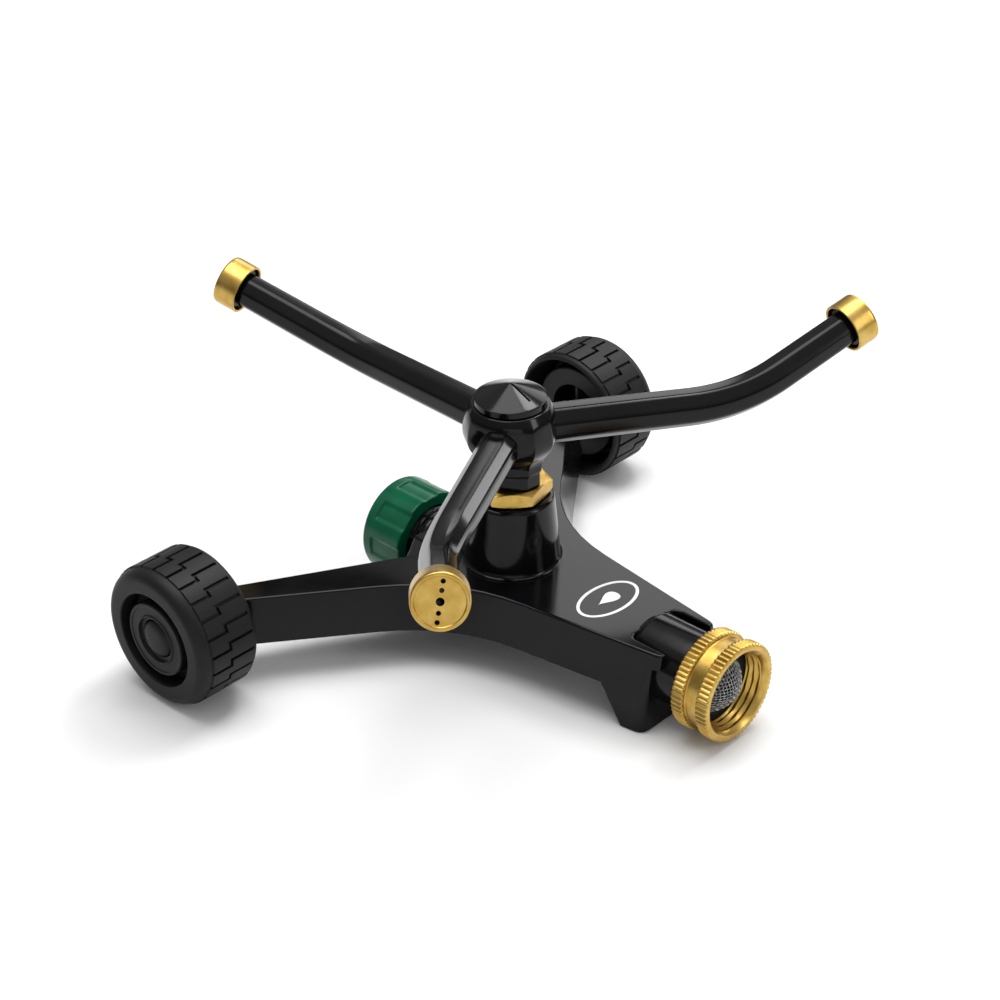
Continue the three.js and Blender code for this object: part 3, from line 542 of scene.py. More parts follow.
def tower_shell():
    """A tapered tube whose foot spreads by the fillet where it meets the plate."""
    fillet = TOWER_FILLET
    profile = [
        (WELL, WATER_HEIGHT, 0), (TOWER_ROOT - 1, WATER_HEIGHT, 0),
        (TOWER_ROOT + fillet + 0.4, PLATE_TOP - 0.6, 0),
        (TOWER_ROOT + fillet + 0.4, PLATE_TOP + 0.02, 0.2),
        (TOWER_ROOT, PLATE_TOP + 0.02, fillet), (TOWER_TOP, TOWER_HIGH, TOWER_EDGE),
        (WELL, TOWER_HIGH, 0.4),
    ]
    return turned(profile, columns=128, steps=8)


def barrel_shells():
    """In front, a tube with a rounded end. Under the plate, a tube with its top cut level."""
    start, near, far = -TAIL_END + 1, SLOT_START - 1, SLOT_START - 0.6
    front = turned([
        (BORE, near, 0), (BARREL - 1.6, near, 0), (BARREL - 1.2, SLOT_START, 0.6),
        (BARREL, SLOT_START + 1.2, 0.8), (BARREL, BARREL_FRONT, 1.2), (BORE, BARREL_FRONT, 0.5),
    ])
    points, faces = turned([(BORE, start, 0), (BARREL, start, 0), (BARREL, far, 0), (BORE, far, 0)])
    points[:, 1] = np.minimum(points[:, 1], PLATE_TOP - 1 - WATER_HEIGHT)
    return front, (points, faces)


def neck_shell():
    """The second outlet. The thread adds height * sin(2 pi z / pitch - angle) to the radius, and
    fades out at both ends."""

    def thread(angle, radius, height):
        along = np.clip((height - 33) / 2, 0, 1) * np.clip((NECK_END - 0.8 - height) / 1.2, 0, 1)
        wave = np.sin(2 * np.pi * height / HOSE_PITCH - angle)
        return np.where(radius > NECK - 0.9, THREAD_HEIGHT * along * wave, 0)

    side = [(NECK - 0.45, h, 0) for h in np.linspace(30, NECK_END - 0.6, 90)]
    profile = [(BORE, 30, 0), *side, (NECK - 1.2, NECK_END, 0.3), (BORE, NECK_END, 0.4)]
    return turned(profile, 96, thread, steps=3)


def boss_shell():
    """A short tube for the axle, 8 mm long, ending just inside the leg's end face."""
    profile = [(BOSS_BORE, -8, 0), (BOSS, -8, 0), (BOSS, -0.1, 0.5), (BOSS_BORE, -0.1, 0.3)]
    return turned(profile, columns=48)


water_at = AXIS + [0, 0, WATER_HEIGHT]
base_shells = [seat(plate_shell(), AXIS), seat(tower_shell(), AXIS)]
base_shells.append(seat(neck_shell(), water_at, FACING_REAR))
base_shells += [seat(shell, water_at, FACING_FRONT) for shell in barrel_shells()]
for side in (-1, 1):
    wheel_at = WHEEL_AT["left" if side < 0 else "right"]
    end_face = [AXIS[0] + side * LEG_END, wheel_at[1], wheel_at[2]]
    base_shells.append(seat(boss_shell(), end_face, [[0, side, 0], [0, 0, 1], [side, 0, 0]]))
piece("cast_base", base_shells, ENAMEL, "base", ["base_casting"], crisp=34)

# %% [markdown]
# ## The mark on the front arm
# The real plate carries a printed badge. A generic mark takes its place: an oval ring around a
# drop of water. It is pad print, so it is only a thin layer of white ink. Both outlines are
# formulas: an ellipse, and a drop whose width swells as sine times one minus cosine.

# %% Printed mark
MARK_CENTRE = AXIS + [0.5, -41.5, PLATE_TOP]
MARK_HALF_LENGTH, MARK_HALF_WIDTH, MARK_STROKE = 12.6, 7.6, 1.1
DROP_HALF_LENGTH, DROP_WIDTH = 4.6, 2.0
INK, SUNK = 0.06, -0.05  # the ink's top, and its underside just inside the paint


def mark_shells():
    """An elliptical ring, and a drop: x = -length cos u, y = width sin u (1 - cos u)."""
    t = np.linspace(0, 2 * np.pi, 72, endpoint=False)
    oval = lambda inset: np.column_stack(
        [(MARK_HALF_LENGTH - inset) * np.cos(t), (MARK_HALF_WIDTH - inset) * np.sin(t)]
    )
    ring = [
        lifted(oval(inset), height)
        for inset, height in ((0, SUNK), (0, INK), (MARK_STROKE, INK), (MARK_STROKE, SUNK))
    ]
    u = np.concatenate([[0], np.linspace(0.5, 2 * np.pi - 0.5, 60)])
    width = DROP_WIDTH * np.sin(u) * (1 - np.cos(u))
    drop = np.column_stack([-DROP_HALF_LENGTH * np.cos(u), width])
    drops = [lifted(drop, height) for height in (SUNK, INK)]
    return skin(np.array(ring), ring=True), skin(np.array(drops), caps=True)


mark = [seat(shell, MARK_CENTRE) for shell in mark_shells()]
piece("arm_mark", mark, PAD_PRINT, "base")

# %% [markdown]
# ## The hose coupling
# A brass swivel coupling is turned from bar: two knurled flanges with a smooth waist between, and
# a hose thread inside. The knurl is straight, so each flange's radius dips in sixty even flutes.
# The thread is the same kind of wave as on the outlet's neck, turned inwards.

# %% Coupling with flutes and thread
COUPLING_LENGTH = COUPLING_BACK - box_mm("hose_coupling")[0][1]
FLANGE_RADIUS, FLANGE_LENGTH, WAIST_RADIUS = 16.8, 4.6, 15.1
FLUTES, FLUTE_DEPTH = 60, 0.6
THREAD_RADIUS, CHAMFER = 13.2, 1.3
TAILPIECE_HOLE, BACK_WALL = 9.3, 2.2


def coupling_shell():
    """Flutes lower the flanges' radius by depth * ((1 + cos(60 a)) / 2)^1.4. The inner thread is
    a triangle wave of z / pitch + a / 2 pi."""

    def knurl_and_thread(angle, radius, height):
        rim = np.clip((radius - WAIST_RADIUS - 0.5) / 0.7, 0, 1)
        flute = (0.5 + 0.5 * np.cos(FLUTES * angle)) ** 1.4
        inside = (radius < THREAD_RADIUS + 0.3) & (radius > THREAD_RADIUS - 0.3)
        start, end = (height - 5.2) / 1.5, (COUPLING_LENGTH - 1.5 - height) / 0.8
        along = np.clip(start, 0, 1) * np.clip(end, 0, 1)
        wave = np.abs((height / HOSE_PITCH + angle / (2 * np.pi)) % 1 - 0.5) * 4 - 1
        return -FLUTE_DEPTH * rim * flute + np.where(inside, 0.45 * along * wave, 0)

    length, flange = COUPLING_LENGTH, FLANGE_LENGTH
    thread = [(THREAD_RADIUS, h, 0) for h in np.linspace(length - 1.5, 4.6, 44)]
    profile = [
        (TAILPIECE_HOLE, 0, 0.2), (FLANGE_RADIUS, 0, 0.9), (FLANGE_RADIUS, flange, 0.9),
        (WAIST_RADIUS, flange, 0.5), (WAIST_RADIUS, length - flange, 0.5),
        (FLANGE_RADIUS, length - flange, 0.9), (FLANGE_RADIUS, length, 0.9),
        (THREAD_RADIUS + CHAMFER, length, 0.3),
        *thread,
        (THREAD_RADIUS, BACK_WALL, 0), (TAILPIECE_HOLE, BACK_WALL, 0),
    ]
    return turned(profile, 6 * FLUTES, knurl_and_thread)


coupling_at = np.array([AXIS[0], COUPLING_BACK, WATER_HEIGHT])
coupling = [seat(coupling_shell(), coupling_at, FACING_FRONT)]
piece("knurled_coupling", coupling, BRASS, "coupling", ["hose_coupling"], crisp=50)

# %% [markdown]
# ## The filter screen
# A domed strainer of woven wire sits in a rubber washer inside the coupling. Each wire is a thin
# tube that follows the dome, a paraboloid, and rises and falls past the wires that cross it. All
# the wires of one direction are one array, and the tubes close to a point at both ends.

# %% Woven dome and its rubber rim
SCREEN_LOW = COUPLING_BACK - box_mm("filter_screen")[1][1]
BULGE = 3.2  # how far the wires stand out beyond the thin CAD shell
SCREEN_HIGH = COUPLING_BACK - box_mm("filter_screen")[0][1] + BULGE
SCREEN_RADIUS, WIRE, WIRE_COUNT, RIM_THICKNESS = 9.4, 0.13, 17, 0.6  # WIRE is half its thickness


def wire_shell(crossed):
    """Wires at even distances: height = dome * (1 - r^2 / R^2), plus a cosine that passes over
    and under."""
    pitch = 2 * SCREEN_RADIUS / (WIRE_COUNT + 1)
    place = (np.arange(WIRE_COUNT) - (WIRE_COUNT - 1) / 2) * pitch
    half = np.sqrt(SCREEN_RADIUS**2 - place**2)
    steps, sides = 70, 5
    along = np.linspace(-1, 1, steps)[None, :] * half[:, None]
    across = np.broadcast_to(place[:, None], along.shape)
    dome = SCREEN_HIGH - SCREEN_LOW - RIM_THICKNESS - 2 * WIRE
    height = dome * (1 - (along**2 + across**2) / SCREEN_RADIUS**2)
    parity = np.where(np.arange(WIRE_COUNT) % 2, 1.0, -1.0)[:, None] * (1 if crossed else -1)
    height = height + parity * WIRE * np.cos(np.pi * along / pitch)
    thickness = np.where(np.abs(np.linspace(-1, 1, steps)) < 1, WIRE, 0)[None, :, None]
    turn = np.linspace(0, 2 * np.pi, sides, endpoint=False)
    side = across[..., None] + thickness * np.cos(turn)
    level = SCREEN_LOW + RIM_THICKNESS + WIRE + height[..., None] + thickness * np.sin(turn)
    run = np.broadcast_to(along[..., None], side.shape)
    parts = (side, run, level) if crossed else (run, side, level)
    points = np.stack(parts, -1).reshape(WIRE_COUNT, -1, 3)
    faces = np.array(skin(points[0].reshape(steps, sides, 3))[1])
    starts = np.arange(WIRE_COUNT)[:, None, None] * steps * sides
    return points.reshape(-1, 3), (faces[None] + starts).reshape(-1, 4).tolist()


wires = [seat(wire_shell(crossed), coupling_at, FACING_FRONT) for crossed in (False, True)]
piece("woven_screen", wires, SCREEN_WIRE, "coupling", ["filter_screen"], crisp=80)
rim = turned([
    (SCREEN_RADIUS - 0.8, SCREEN_LOW, 0), (THREAD_RADIUS - 0.5, SCREEN_LOW, 0.2),
    (THREAD_RADIUS - 0.5, SCREEN_LOW + 0.8, 0.4), (SCREEN_RADIUS + 0.6, SCREEN_LOW + 1.4, 0.6),
    (SCREEN_RADIUS - 0.8, SCREEN_LOW + 0.9, 0.5),
])
piece("screen_rim", [seat(rim, coupling_at, FACING_FRONT)], RUBBER, "coupling")

# %% [markdown]
# ## The green end cap
# The cap closes the second outlet. It is moulded with eight shallow finger hollows that start a
# little way in from the rounded end and run out over the open rim. The radius dips in each hollow
# and nowhere else.

# %% End cap with grips
CAP_RADIUS, CAP_HOLLOWS, HOLLOW_DEPTH = 17.2, 8, 0.75
CAP_LENGTH = CAP_END - box_mm("end_cap")[0][1]


def end_cap_shell():
    """A cup whose radius dips by depth * clip(1.9 cos(8 a) + 0.25)^0.8 in eight hollows."""

    def hollows(angle, radius, height):
        hollow = np.clip(np.cos(CAP_HOLLOWS * angle) * 1.9 + 0.25, 0, 1) ** 0.8
        outside = np.clip((radius - CAP_RADIUS + 1.6) / 1.4, 0, 1)
        clear = np.clip((-4.4 - height) / 0.9, 0, 1)
        return -HOLLOW_DEPTH * hollow * outside * clear * clear * (3 - 2 * clear)

    mouth = NECK + 0.3
    profile = [
        (0, 0, 0), (6, 0, 0), (CAP_RADIUS, -0.25, 2.6),
        *[(CAP_RADIUS, height, 0) for height in np.linspace(-4, -5.6, 9)],
        (CAP_RADIUS, -CAP_LENGTH + 1.5, 0), (CAP_RADIUS, -CAP_LENGTH, 0.7),
        (mouth, -CAP_LENGTH, 0.5), (mouth, -2.6, 0.4), (0, -2.6, 0),
    ]
    return turned(profile, 256, hollows, steps=9)


cap_at = np.array([AXIS[0], CAP_END, WATER_HEIGHT])
green_cap = [seat(end_cap_shell(), cap_at, FACING_REAR)]
piece("green_cap", green_cap, GREEN_ABS, "cap", ["end_cap"])

# %% [markdown]
# ## The bearing nut
# A hexagon nut is a six-sided bar with its corners turned off at a slope, which leaves the curved
# edges that every nut has. In polar form that is the smaller of two radii: the hexagon's at that
# angle, and the turning tool's at that height.

# %% Hexagon nut
NUT_CORNER, NUT_HEIGHT, NUT_TURN = 13.3, 5.3, math.radians(-106)
SPINDLE_HOLE, SEAT_RADIUS, SHANK = 5.3, 7.2, 7.6


def nut_shell():
    """Radius = min(hexagon at this angle, turning tool at this height)."""
    bottom = NUT_TOP - NUT_HEIGHT
    apothem = NUT_CORNER * math.cos(math.pi / 6)
    rows = [
        (SPINDLE_HOLE, bottom - 13.5), (SHANK, bottom - 13.5), (SHANK, bottom),
        (apothem - 0.6, bottom),
        *[(apothem - 0.4 + 2.2 * t, bottom + 0.9 * t) for t in np.linspace(0, 1, 6)],
        *[(NUT_CORNER + 1, bottom + 0.9 + (NUT_HEIGHT - 2.1) * t) for t in np.linspace(0, 1, 3)],
        *[(apothem - 0.4 + 2.2 * t, NUT_TOP - 1.2 * t) for t in np.linspace(1, 0, 7)],
        (apothem - 0.6, NUT_TOP), (SEAT_RADIUS, NUT_TOP), (SEAT_RADIUS, NUT_TOP - 2),
        (SPINDLE_HOLE, NUT_TOP - 2),
    ]
    limit, height = np.array(rows).T[:, :, None]
    angle = np.linspace(0, 2 * np.pi, 144, endpoint=False)[None, :] + NUT_TURN
    hexagon = apothem / np.cos((angle - NUT_TURN) % (np.pi / 3) - np.pi / 6)
    return skin(around(np.minimum(limit, hexagon), angle, height), ring=True)


piece("hexagon_nut", [seat(nut_shell(), AXIS)], BRASS, "base", ["bearing_nut"], crisp=24)

# %% [markdown]
# ## The rotor hub and its cap
# The hub is a bell: a narrow neck that swells to a belt where the arms leave it, and a rounded
# crown. Its sides aren't quite round. A broad, nearly flat face stands behind each arm, and a
# narrow one between each pair of arms, so soft creases catch the light. The radius is mixed from
# a circle and these flats.

# %% Hub
ARM_COUNT = 3
FIRST_ARM = math.radians(-153.3)
FLAT_HALF = math.radians(45)
HUB_RIM = 12.6


def faceted(angle, radius, broad, narrow):
    """A circle pressed towards a broad flat behind each arm and a narrow flat between each pair."""
    sector = 2 * np.pi / ARM_COUNT
    off_arm = (angle - FIRST_ARM + sector / 2) % sector - sector / 2
    off_gap = (angle - FIRST_ARM) % sector - sector / 2
    narrow_half = sector / 2 - FLAT_HALF
    on_flat = np.abs(off_arm) < FLAT_HALF
    flat = np.where(
        on_flat,
        np.cos(FLAT_HALF) / np.cos(np.where(on_flat, off_arm, 0)),
        np.cos(narrow_half) / np.cos(np.where(on_flat, 0, off_gap)),
    )
    weight = np.where(on_flat, broad, narrow)
    return radius * (1 - weight * (1 - flat))


def hub_shell():
    """A turned bell whose radius is mixed with the flats, more on the neck than on the crown."""
    profile = bent([
        (SPINDLE_HOLE, 0, 0), (10.7, 0, 0.4), (10.7, 4.6, 0.5), (11.3, 5.2, 0.5),
        (11.6, 9.2, 3), (15.5, 14.4, 2.6), (15.9, 18.6, 3.4), (14.6, 24.2, 1.6),
        (HUB_RIM, HUB_HIGH - HUB_LOW, 0.5), (HUB_RIM - 1.4, HUB_HIGH - HUB_LOW, 0.2),
        (8, HUB_HIGH - HUB_LOW, 0), (8, 13, 0), (SPINDLE_HOLE, 13, 0),
    ], steps=8)
    radius, height = unrepeated(profile).T[:, :, None]
    angle = np.linspace(0, 2 * np.pi, 192, endpoint=False)[None, :]
    fade = np.clip((HUB_HIGH - HUB_LOW - 1.5 - height) / 6, 0, 1) * (radius > 9)
    broad = fade * np.where(height < 9, 0.5, 0.26)
    radius = faceted(angle, radius, broad, fade * 0.9)
    return skin(around(radius, angle, HUB_LOW + height), ring=True)


piece("bell_hub", [seat(hub_shell(), AXIS)], ENAMEL, "head", ["rotor_hub"], crisp=26)

# %% [markdown]
# The cap that closes the hub is a low cone with a thin coin slot along one side. To keep the
# slot's edges straight and parallel on a round cone, the columns beside it aren't at fixed
# angles: each is at the angle whose sine is its distance from the slot's middle line divided by
# the radius.

# %% Cone cap with its slot
CONE_RADIUS, CONE_BAND = 11.9, 2.1
CONE_LOW = HUB_HIGH + 0.3
CONE_HIGH = box_mm("rotor_cap")[1][2]
SLOT_TURN = math.radians(-92)
SLOT_IN, SLOT_OUT, SLOT_WIDE, SLOT_DEEP = 0.6, 8.8, 0.8, 1.2
PLUG_RADIUS, PLUG_DEPTH = 7.6, 4


def cone_cap_shell():
    """Rows from the tip down the cone, round its band and down the plug that fits the hub."""
    half = SLOT_WIDE / 2
    lanes = np.array([-half - 0.12, -half, -half + 0.04, half - 0.04, half, half + 0.12])
    sunk = np.array([0, 0, 1, 1, 0, 0])
    rise = CONE_HIGH - CONE_LOW - CONE_BAND
    slope = lambda r: CONE_LOW + CONE_BAND + rise * (1 - (r / CONE_RADIUS) ** 1.05)
    radii = [0.45, SLOT_IN - 0.04, SLOT_IN, 1.6, 3, 5, 7]
    radii += [SLOT_OUT, SLOT_OUT + 0.05, 9.6, 11, CONE_RADIUS - 0.35]
    cone = [(r, slope(r), SLOT_IN <= r <= SLOT_OUT) for r in radii]
    body = [
        (CONE_RADIUS - 0.08, slope(CONE_RADIUS) - 0.05, False),
        (CONE_RADIUS, slope(CONE_RADIUS) - 0.35, False), (CONE_RADIUS, CONE_LOW + 0.15, False),
        (CONE_RADIUS - 0.15, CONE_LOW, False), (PLUG_RADIUS, CONE_LOW, False),
        (PLUG_RADIUS, CONE_LOW - PLUG_DEPTH, False), (0, CONE_LOW - PLUG_DEPTH, False),
    ]
    profile = np.array([(0, slope(0), False), *cone, *body], float)
    radius, height, cut = profile.T[:, :, None]
    edge = np.arcsin(np.clip(lanes[-1] / np.maximum(radius, 0.45), -1, 1))
    near = np.arcsin(np.clip(lanes[None, :] / np.maximum(radius, 0.45), -1, 1))
    share = np.linspace(0, 1, 128)[None, 1:-1]
    far = edge + share * (2 * np.pi - 2 * edge)
    angle = np.concatenate([near, far], 1) + SLOT_TURN
    depth = SLOT_DEEP * cut * np.concatenate([sunk, np.zeros(far.shape[1])])[None, :]
    return skin(around(radius, angle, height - depth))


cone_cap = [seat(cone_cap_shell(), AXIS)]
piece("cone_cap", cone_cap, ENAMEL, "head", ["rotor_cap"], crisp=30)

# %% [markdown]
# ## Arms
# Each arm is a cast tube with eight flat sides and softened edges. It leaves the hub level, bends
# up and sideways and tapers to the nozzle. The section is an octagon with rounded corners,
# carried along a line made of two straights joined by one curve.

# %% Arm line and section
NOZZLES = [joint_mm(f"nozzle_{i + 1}_set") for i in range(ARM_COUNT)]
BEND_RADIUS, BEND_DROP, BEND_REACH = 76.5, 1.0, 17.0
ARM_ROOT_HALF, ARM_TIP_HALF = 6.25, 5.75
ARM_START, ARM_STOP = 9, 6.2  # from the rotor's axis, and before the nozzle's face


def arm_shell(i):
    """A rounded octagon carried from inside the hub to just inside the nozzle, along two
    straights and the curve between them, while it shrinks evenly with the distance."""
    tip, direction = NOZZLES[i]
    angle = FIRST_ARM + i * 2 * math.pi / ARM_COUNT
    outward = np.array([math.cos(angle), math.sin(angle), 0])
    root = AXIS + outward * ARM_START + [0, 0, ARM_HEIGHT]
    bend = AXIS + outward * BEND_RADIUS + [0, 0, ARM_HEIGHT - BEND_DROP]
    end = tip - direction * ARM_STOP
    path = bent([(*root, 0), (*bend, BEND_REACH), (*end, 0)], steps=15, closed=False)
    path = unrepeated(path)
    along = np.gradient(path, axis=0)
    along /= np.linalg.norm(along, axis=1)[:, None]
    sides = np.cross(UP, along)
    sides /= np.linalg.norm(sides, axis=1)[:, None]
    ups = np.cross(along, sides)
    distance = np.concatenate([[0], np.cumsum(np.linalg.norm(np.diff(path, axis=0), axis=1))])
    scale = ARM_ROOT_HALF + (ARM_TIP_HALF - ARM_ROOT_HALF) * distance / distance[-1]
    corner = np.pi / 8 + np.arange(8) * np.pi / 4
    octagon = np.column_stack([np.cos(corner), np.sin(corner)]) / math.cos(np.pi / 8)
    across, above = bent(lifted(octagon, 0.2)).T[:, None, :, None]
    section = across * sides[:, None] + above * ups[:, None]
    points, faces = skin(path[:, None] + scale[:, None, None] * section, caps=True)
    return points, faces, points


for i in range(ARM_COUNT):
    n = i + 1
    piece(f"arm_{n}", [arm_shell(i)], ENAMEL, "head", [f"arm_tube_{n}"], crisp=40)

# %% [markdown]
# ## Nozzles
# Each brass cap is a cup with a rolled rim. Its face is slightly sunken and has five drilled
# holes in a row, a wide one in the middle. Holes in a flat face are easiest as a triangulated
# plate: the rim and the holes are its outlines, and short tubes join the front plate to the back
# one.

# %% Cup with drilled face
CUP_RADIUS, CUP_LENGTH, CUP_WALL, FACE_THICK, FACE_SUNK = 8.7, 8.4, 0.9, 1.4, 0.35
HOLES = [(0.0, 1.25), (3.3, 0.75), (-3.3, 0.75), (6.0, 0.75), (-6.0, 0.75)]  # (distance, radius)
HOLE_LEAN = math.radians(-10)
RIM_COLUMNS, HOLE_COLUMNS = 96, 16
COLLAR_GAP, COLLAR_LENGTH, ARM_BORE = 1.7, 4.2, 3.2


def circle(centre, radius, height, columns):
    """x = cx + r cos a, y = cy + r sin a, at one height."""
    angle = np.linspace(0, 2 * np.pi, columns, endpoint=False)
    return around(radius, angle, height) + [*centre, 0]


def drilled_plate(radius, height, centres):
    """A flat disc with round holes: its outline and the holes' outlines, filled by triangles."""
    loops = [circle((0, 0), radius, height, RIM_COLUMNS)]
    loops += [circle(centre, hole, height, HOLE_COLUMNS) for centre, hole in centres]
    triangles = tessellate_polygon([[Vector(point) for point in loop] for loop in loops])
    return np.vstack(loops), [list(triangle) for triangle in triangles]


def cup_shell():
    """The turned cup, two drilled discs for its face, and a tube through each hole."""
    sine, cosine = math.sin(HOLE_LEAN), math.cos(HOLE_LEAN)
    centres = [((-sine * offset, cosine * offset), radius) for offset, radius in HOLES]
    face_radius, inner = CUP_RADIUS - 1.5, CUP_RADIUS - CUP_WALL
    front, back = -FACE_SUNK, -FACE_THICK
    profile = bent([
        (face_radius, front, 0), (face_radius + 0.25, 0, 0.25), (CUP_RADIUS, 0, 1.5),
        (CUP_RADIUS, -CUP_LENGTH, 0.35), (inner, -CUP_LENGTH, 0.35), (inner, back, 0.3),
        (face_radius, back, 0),
    ], steps=6, closed=False)
    rows = np.array([circle((0, 0), r, h, RIM_COLUMNS) for r, h in unrepeated(profile)])
    shells = [skin(rows)]
    shells += [drilled_plate(face_radius, height, centres) for height in (front, back)]
    for centre, radius in centres:
        tube = np.array([circle(centre, radius, height, HOLE_COLUMNS) for height in (front, back)])
        shells.append(skin(tube))
    return joined(shells)


def collar_shell():
    """A ring on the arm's end. Its ridges grip the cup, as the turns of a thread would."""
    high = -FACE_THICK - COLLAR_GAP
    low = high - COLLAR_LENGTH
    ridges = [(7.45 if k % 2 else 7.15, low + 0.5 + 0.35 * k, 0.1) for k in range(10)]
    ends = [(ARM_BORE, low, 0), (7.0, low, 0.4)], [(7.2, high, 0.3), (ARM_BORE, high, 0)]
    return turned([*ends[0], *ridges, *ends[1]], 72)


for i, (tip, direction) in enumerate(NOZZLES):
    across = np.cross(UP, direction)
    across /= np.linalg.norm(across)
    axes = [across, np.cross(direction, across), direction]
    n = i + 1
    collar = [seat(collar_shell(), tip, axes)]
    cup = [seat(cup_shell(), tip, axes)]
    piece(f"collar_{n}", collar, BLACK_NYLON, "head", [f"nozzle_collar_{n}"])
    piece(f"spray_cap_{n}", cup, BRASS, f"nozzle_{n}", [f"nozzle_cap_{n}"], crisp=36)

# %% [markdown]
# ## Wheels
# Each wheel is one moulding. Its tread has two rows of cross grooves, a little under half a step
# apart, and joined by a short step in the middle, which reads as a row of Z shapes. The columns
# of the grid are packed at the grooves' edges, and the radius is lowered wherever a point falls
# in a groove. Both side faces are hollow: a ring-shaped well outside, and inside a deep one
# around the axle tube, stiffened by ribs.

# %% Wheel with grooved tread
WHEEL_RADIUS = WHEEL_AT["left"][2]
WHEEL_HALF = 11.7
TREAD_GROOVES, GROOVE_WIDE, GROOVE_DEEP, BLOCK_RISE = 24, 1.0, 1.1, 0.55
FIRST, JOG = 0.3, 0.38  # a groove's place in its step, and the shift of the inner row
STEEP = 0.08  # mm over which a groove's wall falls
OUTER_EDGE, OUTER_SHOULDER, OUTER_BLOCK = 20.1, 4.2, 4.4
INNER_EDGE, INNER_SHOULDER, INNER_BLOCK = 22.2, 1.9, 2.0
SMALL = 1e-6


def wheel_shell():
    """A turned ring. Its radius is lowered where a point's place along the tread, and its side
    of the middle, fall in a groove or in the step that joins two grooves."""
    step = 2 * np.pi / TREAD_GROOVES
    half = GROOVE_WIDE / 2 / WHEEL_RADIUS / step
    wall = STEEP / WHEEL_RADIUS / step
    marks = [0.0, 0.12]
    for middle in (FIRST, FIRST + JOG):
        marks += [middle - half - wall, middle - half, middle + half, middle + half + wall]
    marks = np.sort(marks + [FIRST + JOG / 2, 0.86])
    angle = ((np.arange(TREAD_GROOVES)[:, None] + marks[None, :]) * step).reshape(1, -1)
    low = WHEEL_RADIUS - BLOCK_RISE
    shoulder = lambda edge, width, side: [
        (edge + (low - edge) * math.cos(t), side * (WHEEL_HALF - width + width * math.sin(t)))
        for t in np.radians(np.linspace(90, 0, 9))
    ]
    groove_half = GROOVE_WIDE / 2
    middle = [-groove_half - STEEP, -groove_half, groove_half, groove_half + STEEP]
    blocks = [-WHEEL_HALF + INNER_BLOCK, *middle, WHEEL_HALF - OUTER_BLOCK]
    tread = [
        *shoulder(INNER_EDGE, INNER_SHOULDER, -1),
        *[(WHEEL_RADIUS, z) for z in blocks],
        *shoulder(OUTER_EDGE, OUTER_SHOULDER, 1)[::-1],
    ]
    outer = bent([
        (20.1, 11.7, 0.6), (16.3, 11.7, 0.5), (16.1, 4.7, 0.5), (12.9, 4.7, 0.5),
        (12.7, 11.1, 0.5), (11.6, 11.1, 0.2), (11.4, 10.8, 0.2), (8.6, 10.8, 0.3),
        (8.4, 11.3, 0.2), (7.9, 11.3, 0.2), (7.7, 10.1, 0.2), (6.6, 9.9, 0.1),
        (6.6, 7.7, 0), (2.8, 7.7, 0),
    ], closed=False)
    inner = bent([
        (2.8, -10.6, 0), (4.6, -10.6, 0.3), (4.8, 3.0, 0.5), (10.4, 3.0, 0.5),
        (10.6, -7.4, 0.5), (17.4, -7.4, 0.9), (17.8, 3.0, 0.6), (20.6, 3.0, 0.6),
        (21.6, -10.9, 0.5), (22.2, -11.7, 0.4),
    ], closed=False)
    profile = unrepeated(np.vstack([inner, tread, outer]))
    radius, z = profile.T[:, :, None]
    is_tread = radius > WHEEL_RADIUS - 0.01
    place = (angle / step) % 1
    near = lambda centre: np.abs(place - centre) <= half + SMALL
    between = (place > FIRST - half - SMALL) & (place < FIRST + JOG + half + SMALL)
    bridge = (np.abs(z) <= groove_half + SMALL) & between
    outer_row = near(FIRST) & (z > -groove_half - SMALL)
    inner_row = near(FIRST + JOG) & (z < groove_half + SMALL)
    grooved = outer_row | inner_row | bridge
    radius = radius - GROOVE_DEEP * (grooved & is_tread)
    return skin(around(radius, angle, z), ring=True)


RIB_HALF = 0.55


def rib_shell(angle, start, end, low, high):
    """A thin upright rib from the axle tube out to the drum, as a slab along one spoke."""
    half = RIB_HALF
    corners = [(start, -half, 0.1), (end, -half, 0.1), (end, half, 0.1), (start, half, 0.1)]
    flat = bent(corners, steps=3)
    turn = np.array([[math.cos(angle), math.sin(angle)], [-math.sin(angle), math.cos(angle)]])
    return skin(np.array([lifted(flat @ turn, height) for height in (low, high)]), caps=True)


def hub_cap_shell():
    """A low dome that hides the axle's head."""
    dome = [(0, 8.5, 0), (6.3, 8.5, 0), (6.3, 10.2, 0.5), (4.6, 11.5, 3), (0, 11.68, 0)]
    return turned(dome, columns=64, steps=8)


for name, side in (("left", -1), ("right", 1)):
    axes = [[0, side, 0], [0, 0, 1], [side, 0, 0]]
    shells = [seat(wheel_shell(), WHEEL_AT[name], axes)]
    for spoke in range(3):
        turn = math.radians(90 + 120 * spoke)
        shells.append(seat(rib_shell(turn, 4.4, 10.8, -6.6, 3.2), WHEEL_AT[name], axes))
    body, slot = f"wheel_{name[0]}", "wheel_plastic"
    dome = [seat(hub_cap_shell(), WHEEL_AT[name], axes)]
    piece(f"grooved_wheel_{name}", shells, WHEEL_PLASTIC, body, [f"wheel_{name}"], crisp=36)
    piece(f"domed_cap_{name}", dome, WHEEL_PLASTIC, body, [f"hub_cap_{name}"])

# %% [markdown]
# ## The pieces inside
# Seals, washers, pins and the spindle are plain turned or cut shapes, mostly out of sight. Their
# CAD solids are already right, so they stay and only take a proper finish from the slot that the
# record gives them.

